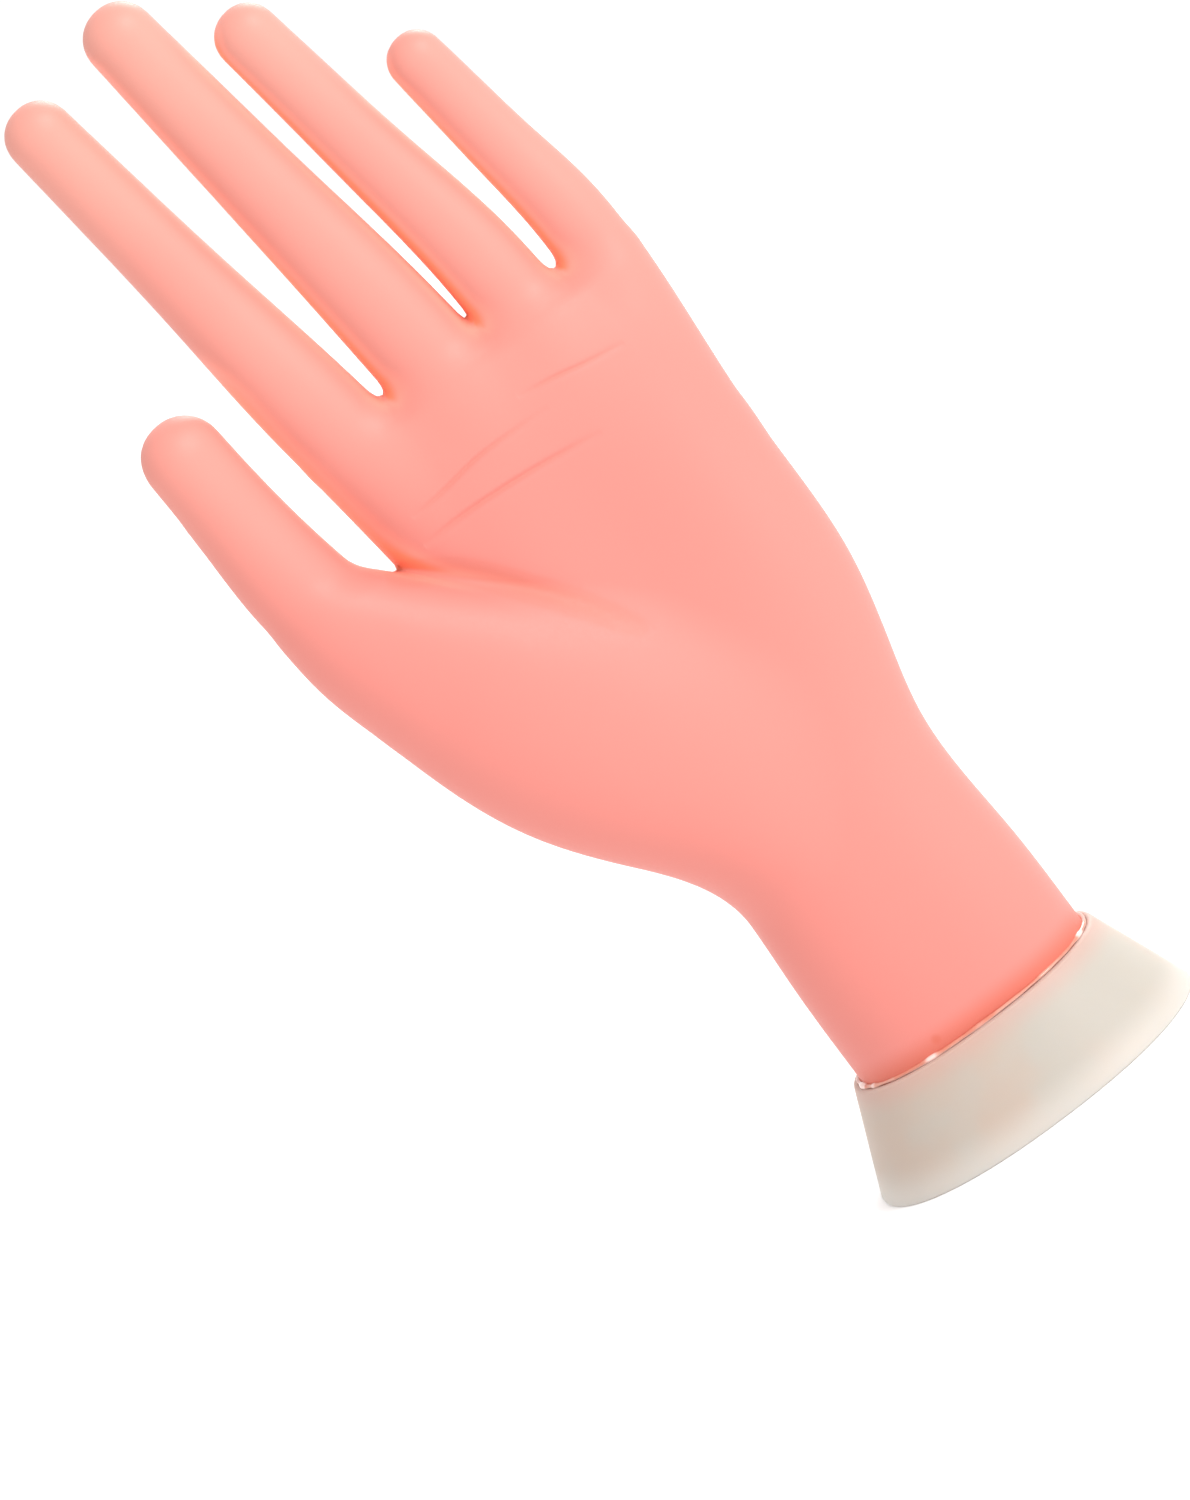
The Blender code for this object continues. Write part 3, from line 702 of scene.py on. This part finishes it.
def store(obj, name, values):
    """Keeps one number, or three, at each point for the materials."""
    values = np.asarray(values, np.float32)
    kind, field = ("FLOAT", "value") if values.ndim == 1 else ("FLOAT_VECTOR", "vector")
    layer = obj.data.attributes.new(name, kind, "POINT")
    layer.data.foreach_set(field, values.reshape(-1))


def thicken(points, normals, faces, wall):
    """A closed sheet: the surface, an inner copy of it and a rim along its open edges."""
    count = len(points)
    inner = points - normals * wall
    sides = np.stack([faces, np.roll(faces, -1, axis=1)], axis=-1).reshape(-1, 2)
    key = np.sort(sides, axis=1)
    edge = key[:, 0] * count + key[:, 1]
    _, first, uses = np.unique(edge, return_index=True, return_counts=True)
    rim = sides[first[uses == 1]]
    rims = np.stack([rim[:, 1], rim[:, 0], rim[:, 0] + count, rim[:, 1] + count], axis=1)
    walls = [*faces.tolist(), *(faces[:, ::-1] + count).tolist(), *rims.tolist()]
    return np.concatenate([points, inner]), np.concatenate([normals, -normals]), walls


# How far from a finger's field a face may be to belong to it.
OWN_SKIN = 2.5


def seams_of(finger):
    """Distances along a finger: where its own skin starts, then the middle of each link."""
    s = finger.hinge_s
    return [-finger.root_seam, *[(a + b) / 2 for a, b in zip(s, s[1:])]]


def owners_of(centres):
    """The finger that each face belongs to, from 1, or 0 for the palm."""
    owner = np.zeros(len(centres), int)
    best = np.full(len(centres), OWN_SKIN)
    for i, finger in enumerate(fingers.values(), start=1):
        field = finger.field(centres)
        mine = (finger.local(centres)[2] > -finger.root_seam) & (field < best)
        owner[mine] = i
        best[mine] = field[mine]
    return owner


# How far out from the skin it is felt for, to find how closed in each place is.
HOLLOW_REACHES = (2.5, 5.0, 10.0)


def hollowness(points):
    """0 where the skin is open to the room, rising to about 1 deep between two fingers. It sets
    where the painted glow goes.
    """
    base = project(smooth_hand, points)
    normals = normals_of(smooth_hand, base)
    out = np.zeros(len(points))
    for reach in HOLLOW_REACHES:
        out += np.clip(1 - smooth_hand(base + normals * reach) / reach, 0, 1)
    return out / len(HOLLOW_REACHES)


# One of the palm's creases broader than BROAD is the thumb's fold, which gets this many times as
# much painted shade.
BROAD = 1.0
FOLD_SHADE_GAIN = 3.0


def crease_shade_depth(points):
    """How much painted shade each point gets: 0 on open skin, 1 at the bottom of the palm's creases
    and the wrinkles, and more in the thumb's fold.
    """
    out = np.zeros(len(points))
    for line, _, width in creases:
        shade_gain = FOLD_SHADE_GAIN if width > BROAD else 1.0
        out = np.maximum(out, shade_gain * line.ridge(points, width, -1))
    for finger in fingers.values():
        out = np.maximum(out, wrinkle_field(finger, points) / WRINKLE_DEPTH)
    return out


def skin_mesh():
    """The whole outer skin in millimetres: points, triangles and normals."""
    low = np.array(CAD_BOX[0]) / MM - GRID_MARGIN
    high = np.array(CAD_BOX[1]) / MM + GRID_MARGIN
    low[2] = LOWEST_SKIN
    points, quads = surface_nets(smooth_hand, low, high, GRID)
    points = project(smooth_hand, points)
    points, triangles = refined(points, quads)
    points = project(smooth_hand, points)
    points = settle(skin_field, points, normals_of(smooth_hand, points))
    return points, triangles, normals_of(skin_field, points)


def skin_piece(name, points, normals, marks, faces):
    """One part of the skin, from these faces of the whole, with a wall and its marks."""
    used, index = np.unique(faces.reshape(-1), return_inverse=True)
    sheet = thicken(points[used], normals[used], index.reshape(faces.shape), WALL)
    obj = new_piece(name, sheet[0], sheet[2], sheet[1])
    store(obj, "rest", sheet[0])
    for mark, values in marks.items():
        store(obj, mark, np.tile(values[used], 2))
    obj.data.materials.append(materials["vinyl"])
    return obj


# Painted glow, standing for light that comes through the vinyl and bounces between the fingers, is
# painted most on the sides
# that face left, away from the key light: the least share of it, and the leftward slopes at which
# it starts to grow and is full.
LEAST_GLOW = 0.5
GLOW_SLOPES = (-0.2, 0.6)


def build_skin():
    """The palm's piece, which is rigid, and one piece for each link."""
    points, triangles, normals = skin_mesh()
    # Marks for painted light: the painted glow goes deep between the fingers and more on the
    # left-facing sides in shade; the painted shade goes in the creases and wrinkles.
    glow = LEAST_GLOW + (1 - LEAST_GLOW) * ramp(-normals[:, 0], *GLOW_SLOPES)
    marks = {"painted_glow": hollowness(points) * glow, "crease": crease_shade_depth(points)}
    centres = points[triangles].mean(axis=1)
    owner = owners_of(centres)
    palm_piece = skin_piece("palm_vinyl", points, normals, marks, triangles[owner == 0])
    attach(palm_piece, "hand")
    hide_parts("palm_skin")
    for i, finger in enumerate(fingers.values(), start=1):
        s = finger.local(centres)[2]
        cuts = seams_of(finger)
        for k, part in enumerate(finger.parts):
            pick = owner == i
            if k:
                pick &= s >= cuts[k]
            if k + 1 < len(cuts):
                pick &= s < cuts[k + 1]
            child = f"{finger.name}_{part}"
            obj = skin_piece(f"{child}_vinyl", points, normals, marks, triangles[pick])
            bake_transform(obj)
            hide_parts(f"{child}_skin")


# ---------------------------------------------------------------- nails

NAIL_ROWS = 26
NAIL_COLUMNS = 22
NAIL_ROUNDING = 0.16
NAIL_ROOT_BOW = 0.9


def nail_section():
    """The plate's cross-section: share of the half angle, share of the thickness."""
    flat = np.linspace(-1, 1, NAIL_COLUMNS)
    return [(a, 1.0) for a in flat] + [(a, 0.0) for a in flat[::-1]]


def build_nail(name, finger):
    """A plate of one section, so that it slides, with a rounded root and free edge."""
    nail = nails[name]
    section = nail_section()
    points, faces = [], []
    for row in range(NAIL_ROWS + 1):
        share = row / NAIL_ROWS
        for a, depth in section:
            angle = a * NAIL_HALF_ANGLE
            x = nail.outer * math.sin(angle)
            low = nail.low + NAIL_ROOT_BOW * math.sin(angle) ** 2
            high = nail.end_centre + max(nail.end_radius**2 - x * x, 0.0) ** 0.5
            s = low + (high - low) * share
            r = nail.inner + depth * NAIL_THICKNESS - nail.sag(s)
            points.append((r * math.sin(angle), nail.centre + r * math.cos(angle), s))
    around = len(section)
    for row in range(NAIL_ROWS):
        for i in range(around):
            j = (i + 1) % around
            a, b = row * around, (row + 1) * around
            faces.append((a + i, a + j, b + j, b + i))
    half = around // 2
    for base, turn in ((0, 1), (NAIL_ROWS * around, -1)):
        for i in range(half - 1):
            quad = (base + i, base + around - 1 - i, base + around - 2 - i, base + i + 1)
            faces.append(quad[::turn])
    axes = np.stack([finger.pins[-1], finger.end_back, finger.end_axis])
    places = np.array(points) @ axes + finger.hinges[-1]
    faces = [face[::-1] for face in faces]
    obj = new_piece(f"{name}_nail_plate", places, faces)
    obj.data.set_sharp_from_angle(angle=math.radians(40))
    rounding = obj.modifiers.new("rounding", "BEVEL")
    rounding.width = NAIL_ROUNDING * MM
    rounding.segments = 2
    rounding.limit_method = "ANGLE"
    rounding.angle_limit = math.radians(50)
    rounding.harden_normals = True
    store(obj, "rest", np.array(points))
    obj.data.materials.append(materials["nail"])
    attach(obj, f"{name}_nail_tip")
    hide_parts(f"{name}_nail_tip")


# ---------------------------------------------------------------- base

COLLAR_HEIGHT = 17.5
COLLAR_FOOT = (30.0, 24.5)
COLLAR_MOUTH = (22.9, 17.6)
COLLAR_WALL = 2.2
COLLAR_POWER = 2.2
COLLAR_SIDES = 128
COLLAR_ROWS = 9
FOOT_ROUNDING = 0.4
LIP_ROUNDING = 0.45
LIP_WIDTH = 1.0
LIP_DEPTH = 3.0
INNER_CHAMFER = 0.25
FOOT_CHAMFER = 0.3


def level_oval(half_x, half_y, z, sides=COLLAR_SIDES):
    """A superellipse in a level plane."""
    angles = np.linspace(0, 2 * math.pi, sides, endpoint=False)
    c, s = np.cos(angles), np.sin(angles)
    x = half_x * np.sign(c) * abs(c) ** (2 / COLLAR_POWER)
    y = half_y * np.sign(s) * abs(s) ** (2 / COLLAR_POWER)
    return np.stack([x, y, np.full(sides, z)], axis=1)


def ring_solid(name, rings):
    """A closed ring-shaped solid through rings of points, from one round to the first again."""
    sides = len(rings[0])
    faces = []
    for k in range(len(rings)):
        a, b = k * sides, (k + 1) % len(rings) * sides
        for i in range(sides):
            j = (i + 1) % sides
            faces.append((a + i, a + j, b + j, b + i))
    return new_piece(name, np.concatenate(rings), faces)


def collar_outside(z, inset=0.0):
    share = z / COLLAR_HEIGHT
    return [foot + (mouth - foot) * share - inset for foot, mouth in zip(COLLAR_FOOT, COLLAR_MOUTH)]


def arc(steps):
    """Angles of a quarter turn."""
    return [i / steps * math.pi / 2 for i in range(steps + 1)]


def build_collar():
    """The flared base: up the outside from its foot, over the lip and down the inside."""
    rings = []
    for turn in arc(6):
        z = FOOT_ROUNDING * (1 - math.sin(turn))
        rings.append(level_oval(*collar_outside(z, FOOT_ROUNDING * (1 - math.cos(turn))), z))
    rings.reverse()
    for z in np.linspace(FOOT_ROUNDING, COLLAR_HEIGHT - LIP_ROUNDING, COLLAR_ROWS)[1:]:
        rings.append(level_oval(*collar_outside(z), z))
    for turn in arc(4)[1:]:
        z = COLLAR_HEIGHT - LIP_ROUNDING * (1 - math.sin(turn))
        rings.append(level_oval(*collar_outside(z, LIP_ROUNDING * (1 - math.cos(turn))), z))
    mouth = [half - LIP_WIDTH for half in COLLAR_MOUTH]
    rings.append(level_oval(*[half + INNER_CHAMFER for half in mouth], COLLAR_HEIGHT))
    rings.append(level_oval(*mouth, COLLAR_HEIGHT - INNER_CHAMFER))
    rings.append(level_oval(*mouth, COLLAR_HEIGHT - LIP_DEPTH))
    rings.append(level_oval(*collar_outside(FOOT_CHAMFER, COLLAR_WALL), FOOT_CHAMFER))
    rings.append(level_oval(*collar_outside(0.0, COLLAR_WALL - FOOT_CHAMFER), 0.0))
    obj = ring_solid("collar", rings)
    obj.data.set_sharp_from_angle(angle=math.radians(60))
    obj.data.materials.append(materials["collar"])
    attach(obj, "hand")
    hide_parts("base_collar")


BEAD_RADIUS = 0.42
BEAD_LINE = (21.7, 16.3)
BEAD_SIDES = 360
BEAD_STEPS = 12
BEAD_HEIGHT = 17.7
BEAD_SQUASH = 0.8

# Drops in the bead: angle round it, half width as an angle, and share of the radius added.
BEAD_BLOBS = (
    (3.3, 0.10, 0.55),
    (3.55, 0.05, 0.35),
    (4.25, 0.07, 0.6),
    (5.75, 0.12, 0.35),
    (1.2, 0.08, 0.4),
)


def build_bead():
    """A thin uneven ring of clear adhesive in the corner between skin and collar."""
    angles = np.linspace(0, 2 * math.pi, BEAD_SIDES, endpoint=False)
    middle = level_oval(*BEAD_LINE, BEAD_HEIGHT, BEAD_SIDES)
    out = np.stack([np.cos(angles), np.sin(angles), np.zeros(BEAD_SIDES)], axis=1)
    swell = 1 + 0.16 * np.sin(7 * angles + 0.6) * np.sin(3 * angles)
    swell += 0.10 * np.sin(23 * angles + 1.1)
    for place, width, size in BEAD_BLOBS:
        swell += size * np.exp(-(((angles - place) / width) ** 2))
    radius = BEAD_RADIUS * swell
    rings = []
    for k in range(BEAD_STEPS):
        turn = 2 * math.pi * k / BEAD_STEPS
        shift = out * (radius * math.cos(turn))[:, None]
        shift[:, 2] += radius * math.sin(turn) * BEAD_SQUASH
        rings.append(middle + shift)
    obj = ring_solid("adhesive_ring", rings[::-1])
    store(obj, "drop_highlight", np.tile(swell - 1, BEAD_STEPS))
    obj.data.materials.append(materials["adhesive"])
    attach(obj, "hand")
    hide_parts("adhesive_bead")


# ---------------------------------------------------------------- materials


class Nodes:
    """Builds one material's node tree in short lines."""

    def __init__(self, name, roughness, specular=0.5, **settings):
        self.material = bpy.data.materials.new(name)
        self.material.use_nodes = True
        self.tree = self.material.node_tree
        self.shader = self.tree.nodes["Principled BSDF"]
        self.shader.inputs["Roughness"].default_value = roughness
        self.shader.inputs["Specular IOR Level"].default_value = specular
        for key, value in settings.items():
            self.shader.inputs[key.replace("_", " ")].default_value = value

    def node(self, kind, **settings):
        node = self.tree.nodes.new(kind)
        for key, value in settings.items():
            setattr(node, key, value)
        return node

    def link(self, output, socket):
        self.tree.links.new(output, socket)

    def attribute(self, name, output):
        return self.node("ShaderNodeAttribute", attribute_name=name).outputs[output]

    def position(self):
        return self.node("ShaderNodeTexCoord").outputs["Object"]

    def noise(self, vector, scale, detail=2.0, roughness=0.5):
        node = self.node("ShaderNodeTexNoise")
        node.inputs["Scale"].default_value = scale
        node.inputs["Detail"].default_value = detail
        node.inputs["Roughness"].default_value = roughness
        self.link(vector, node.inputs["Vector"])
        return node.outputs["Fac"]

    def ramp(self, value, low, high, start=0.0, end=1.0, smooth=True):
        node = self.node("ShaderNodeMapRange", clamp=True)
        node.interpolation_type = "SMOOTHSTEP" if smooth else "LINEAR"
        limits = {"From Min": low, "From Max": high, "To Min": start, "To Max": end}
        for key, number in limits.items():
            node.inputs[key].default_value = number
        self.link(value, node.inputs["Value"])
        return node.outputs["Result"]

    def mix(self, factor, first, second, mode="MIX"):
        node = self.node("ShaderNodeMix", data_type="RGBA", blend_type=mode, clamp_factor=True)
        self.link(factor, node.inputs["Factor"])
        for key, value in (("A", first), ("B", second)):
            socket = next(s for s in node.inputs if s.name == key and s.type == "RGBA")
            if isinstance(value, tuple):
                socket.default_value = (*value, 1.0)
            else:
                self.link(value, socket)
        return next(s for s in node.outputs if s.type == "RGBA")

    def distance(self, vector, place):
        node = self.node("ShaderNodeVectorMath", operation="DISTANCE")
        self.link(vector, node.inputs[0])
        node.inputs[1].default_value = place
        return node.outputs["Value"]

    def split(self, vector, axis):
        node = self.node("ShaderNodeSeparateXYZ")
        self.link(vector, node.inputs["Vector"])
        return node.outputs[axis]

    def colour(self, output):
        self.link(output, self.shader.inputs["Base Color"])

    def bump(self, height, distance, strength=1.0):
        node = self.node("ShaderNodeBump")
        node.inputs["Distance"].default_value = distance
        node.inputs["Strength"].default_value = strength
        self.link(height, node.inputs["Height"])
        self.link(node.outputs["Normal"], self.shader.inputs["Normal"])

    def roughness(self, output):
        self.link(output, self.shader.inputs["Roughness"])


PALM_PINK = (0.700, 0.222, 0.186)
FINGER_PINK = (0.710, 0.262, 0.214)
TIP_PINK = (0.690, 0.288, 0.232)
WRIST_PINK = (0.690, 0.214, 0.180)
# Painted glow: the next two colours, for the hollows between the fingers and their left-facing
# sides.
GLOW_PINK = (0.960, 0.360, 0.280)
PAINTED_GLOW_ORANGE = (0.960, 0.300, 0.150)
# Painted shade: the next two colours, for the creases and just over the collar's mouth.
PAINTED_CREASE_SHADE = (0.640, 0.165, 0.110)
PAINTED_MOUTH_SHADE = (0.600, 0.120, 0.070)


# The heights between which each colour takes over.
FINGERS_FROM = (118.0, 172.0)
TIPS_FROM = (178.0, 214.0)
WRIST_FROM = (62.0, 20.0)
# The last is where painted shade darkens the skin just over the collar.
MOUTH_SHADE_FROM = (22.5, 18.0)

# A dark spot of painted shade for a small pit in the skin, just over the collar, which the skin's
# shape does not have, and the distances at which it ends and is full.
PIT_SHADE = (-8.4, -15.4, 19.8)
PIT_SHADE_SIZE = (1.2, 0.3)


def vinyl_material():
    """Satin soft PVC: pinker at the palm, paler to the tips, with an orange-red painted glow deep
    between the fingers and darker orange painted shade in the creases and just over the collar.
    """
    m = Nodes("soft_vinyl", 0.5, 0.35)
    rest = m.attribute("rest", "Vector")
    height = m.split(rest, "Z")
    cloud = m.noise(rest, 0.05, 2.0)
    colour = m.mix(m.ramp(height, *FINGERS_FROM), PALM_PINK, FINGER_PINK)
    colour = m.mix(m.ramp(height, *TIPS_FROM), colour, TIP_PINK)
    colour = m.mix(m.ramp(height, *WRIST_FROM, 0.0, 0.75), colour, WRIST_PINK)
    colour = m.mix(m.ramp(cloud, 0.35, 0.65, 0.0, 0.10), colour, WRIST_PINK)
    # Painted glow: brighter pink, then orange, deep between the fingers and on their left-facing
    # sides.
    painted_glow = m.attribute("painted_glow", "Fac")
    colour = m.mix(m.ramp(painted_glow, 0.07, 0.38, 0.0, 0.7), colour, GLOW_PINK)
    colour = m.mix(m.ramp(painted_glow, 0.36, 0.80, 0.0, 0.75), colour, PAINTED_GLOW_ORANGE)
    # Painted shade: darker orange in the creases and wrinkles, strongest in the thumb's fold.
    crease = m.attribute("crease", "Fac")
    colour = m.mix(m.ramp(crease, 0.2, 1.0, 0.0, 0.22), colour, PAINTED_CREASE_SHADE)
    colour = m.mix(m.ramp(crease, 1.0, FOLD_SHADE_GAIN, 0.0, 0.40), colour, PAINTED_CREASE_SHADE)
    # Painted shade: darker orange just over the collar's mouth and in a spot for the pit.
    colour = m.mix(m.ramp(height, *MOUTH_SHADE_FROM, 0.0, 0.75), colour, PAINTED_MOUTH_SHADE)
    pit_shade = m.ramp(m.distance(rest, PIT_SHADE), *PIT_SHADE_SIZE, 0.0, 0.5)
    colour = m.mix(pit_shade, colour, PAINTED_MOUTH_SHADE)
    m.colour(colour)
    grain = m.noise(rest, 2.6, 3.0, 0.6)
    m.roughness(m.ramp(grain, 0.3, 0.7, 0.44, 0.56, smooth=False))
    m.bump(grain, 0.00002, 0.5)
    return m.material


IVORY = (0.490, 0.395, 0.328)
IVORY_GREY = (0.455, 0.420, 0.368)
# Painted light: the next two colours, a paler ivory along the foot and a pink glow at the lip.
PAINTED_FOOT_LIGHT = (0.600, 0.560, 0.510)
PAINTED_LIP_GLOW = (0.560, 0.330, 0.280)


def collar_material():
    """Cast translucent ivory resin, cloudy inside, with a painted pink glow at its lip and painted
    light along its foot.
    """
    m = Nodes("cast_ivory", 0.5, 0.35, Subsurface_Weight=0.35, Subsurface_Scale=0.004)
    m.shader.inputs["Subsurface Radius"].default_value = (1.0, 0.8, 0.6)
    place = m.position()
    height = m.split(place, "Z")
    cloud = m.noise(place, 38.0, 3.0, 0.55)
    colour = m.mix(m.ramp(cloud, 0.38, 0.62), IVORY, IVORY_GREY)
    # Painted glow: pink at the lip; painted light: paler towards the foot.
    colour = m.mix(m.ramp(height, 0.0130, 0.0176, 0.0, 0.6), colour, PAINTED_LIP_GLOW)
    colour = m.mix(m.ramp(height, 0.0065, 0.0, 0.0, 0.8), colour, PAINTED_FOOT_LIGHT)
    m.colour(colour)
    speck = m.noise(place, 900.0, 2.0)
    m.bump(speck, 0.00002, 0.4)
    m.roughness(m.ramp(cloud, 0.3, 0.7, 0.45, 0.58, smooth=False))
    return m.material


def cloudy_plastic(name, light, dark, roughness):
    """Moulded plastic with faint clouds of colour and a fine moulded grain."""
    m = Nodes(name, roughness)
    place = m.position()
    cloud = m.noise(place, 60.0, 3.0, 0.55)
    m.colour(m.mix(m.ramp(cloud, 0.3, 0.7), light, dark))
    grain = m.noise(place, 1500.0, 2.0)
    m.bump(grain, 0.00002, 0.5)
    m.roughness(m.ramp(cloud, 0.3, 0.7, roughness - 0.05, roughness + 0.05, smooth=False))
    return m.material


def nail_material():
    """Clear-lacquered nail plastic, milky at the free edge."""
    m = Nodes("nail_plastic", 0.2, 0.5, Coat_Weight=0.4, Coat_Roughness=0.08)
    rest = m.attribute("rest", "Vector")
    along = m.split(rest, "Z")
    ridges = m.node("ShaderNodeTexWave", wave_type="BANDS", bands_direction="X")
    ridges.inputs["Scale"].default_value = 0.9
    ridges.inputs["Distortion"].default_value = 1.5
    m.link(rest, ridges.inputs["Vector"])
    m.colour(m.mix(m.ramp(along, 9.0, 17.0), (0.66, 0.50, 0.43), (0.72, 0.64, 0.57)))
    m.bump(ridges.outputs["Fac"], 0.00002, 0.4)
    m.roughness(m.ramp(ridges.outputs["Fac"], 0.0, 1.0, 0.16, 0.24, smooth=False))
    return m.material


def steel_material():
    """Drawn steel wire, with fine lines along it."""
    m = Nodes("drawn_steel", 0.3, 0.5, Metallic=1.0)
    place = m.position()
    grain = m.noise(place, 2200.0, 2.0)
    m.colour(m.mix(grain, (0.50, 0.50, 0.52), (0.66, 0.66, 0.67)))
    m.roughness(m.ramp(grain, 0.3, 0.7, 0.24, 0.38, smooth=False))
    m.bump(grain, 0.00001, 0.4)
    return m.material


def adhesive_material():
    """Clear glue that takes the colour of the vinyl behind it, darkened into a painted shadow line,
    with painted light along its lower side and painted highlights on its drops.
    """
    m = Nodes("clear_adhesive", 0.22, 0.5, Coat_Weight=0.3, Coat_Roughness=0.08)
    place = m.position()
    cloud = m.noise(place, 260.0, 2.0)
    drop_highlight = m.ramp(m.attribute("drop_highlight", "Fac"), 0.2, 0.45)
    # Painted shade: the vinyl's colour seen through the glue, darkened into the shadow line where
    # skin meets collar.
    colour = m.mix(m.ramp(cloud, 0.4, 0.6), (0.62, 0.20, 0.13), (0.66, 0.30, 0.22))
    # Painted light: the glue's lower side is paler.
    under = m.ramp(m.split(place, "Z"), 0.0178, 0.0175)
    colour = m.mix(under, colour, (0.80, 0.52, 0.44))
    # Painted highlights: the drops are whitish.
    m.colour(m.mix(drop_highlight, colour, (0.86, 0.62, 0.56)))
    m.roughness(m.ramp(drop_highlight, 0.0, 1.0, 0.24, 0.07))
    m.bump(cloud, 0.00015, 0.6)
    return m.material


materials = {
    "vinyl": vinyl_material(),
    "collar": collar_material(),
    "nail": nail_material(),
    "steel": steel_material(),
    "adhesive": adhesive_material(),
    "bone": cloudy_plastic("skeleton_plastic", (0.62, 0.57, 0.49), (0.55, 0.50, 0.43), 0.5),
    "plug": cloudy_plastic("ivory_plastic", (0.60, 0.55, 0.48), (0.54, 0.50, 0.45), 0.42),
}
# The finish of each CAD node, by the last word of its name. All the others are bone.
NODE_MATERIALS = {"pin": "steel", "left": "steel", "right": "steel", "plug": "plug"}


def dress_frame():
    """The hidden frame, its pins and screws, and the plug keep their CAD shape."""
    for name, obj in frame["nodes"].items():
        obj.data.materials.clear()
        obj.data.materials.append(materials[NODE_MATERIALS.get(name.split("_")[-1], "bone")])


# ---------------------------------------------------------------- studio

CAMERA_DISTANCE = 900.0
CAMERA_ELEVATION = math.radians(10)
CAMERA_ROLL = math.radians(37)
CAMERA_TARGET = Vector((-23.54, 0.0, 85.52))
MM_PER_PIXEL = 0.155
PICTURE = (1190, 1500)
SENSOR = 36.0

FLOOR_HALF = 4.0
FLOOR_WHITE = (0.96, 0.96, 0.96, 1)
WORLD_STRENGTH = 1.06
LIGHT_TARGET = (0, 0, 0.12)
LIGHT_SIZE = 0.9


def make_camera():
    data = bpy.data.cameras.new("camera")
    data.sensor_width = SENSOR
    data.lens = SENSOR * CAMERA_DISTANCE / (MM_PER_PIXEL * PICTURE[1])
    camera = bpy.data.objects.new("camera", data)
    bpy.context.scene.collection.objects.link(camera)
    away = Vector((0, -math.cos(CAMERA_ELEVATION), math.sin(CAMERA_ELEVATION)))
    look = (-away).to_track_quat("-Z", "Y").to_matrix().to_4x4()
    turn = Matrix.Rotation(-CAMERA_ROLL, 4, "Z")
    place = Matrix.Translation((CAMERA_TARGET + away * CAMERA_DISTANCE) * MM)
    camera.matrix_world = place @ look @ turn
    bpy.context.scene.camera = camera


def make_softbox(name, place, power):
    data = bpy.data.lights.new(name, "AREA")
    data.shape = "SQUARE"
    data.size = LIGHT_SIZE
    data.energy = power
    light = bpy.data.objects.new(name, data)
    bpy.context.scene.collection.objects.link(light)
    aim = (Vector(LIGHT_TARGET) - Vector(place)).to_track_quat("-Z", "Y").to_matrix().to_4x4()
    light.matrix_world = Matrix.Translation(place) @ aim


def make_floor():
    half = FLOOR_HALF
    mesh = bpy.data.meshes.new("floor")
    corners = [(-half, -half, 0), (half, -half, 0), (half, half, 0), (-half, half, 0)]
    mesh.from_pydata(corners, [], [(0, 1, 2, 3)])
    floor = bpy.data.objects.new("floor", mesh)
    bpy.context.scene.collection.objects.link(floor)
    finish = Nodes("white_floor", 0.9, 0.2)
    finish.shader.inputs["Base Color"].default_value = FLOOR_WHITE
    mesh.materials.append(finish.material)


def make_studio():
    scene = bpy.context.scene
    world = bpy.data.worlds.new("studio")
    world.use_nodes = True
    background = world.node_tree.nodes["Background"]
    background.inputs["Color"].default_value = (1, 1, 1, 1)
    background.inputs["Strength"].default_value = WORLD_STRENGTH
    scene.world = world
    scene.view_settings.view_transform = "Standard"
    make_floor()
    make_softbox("key", (1.3, -1.3, 1.1), 27.0)
    make_softbox("back", (0.9, 1.5, 1.1), 18.0)


build_skin()
for name, finger in fingers.items():
    build_nail(name, finger)
build_collar()
build_bead()
dress_frame()
make_camera()
make_studio()
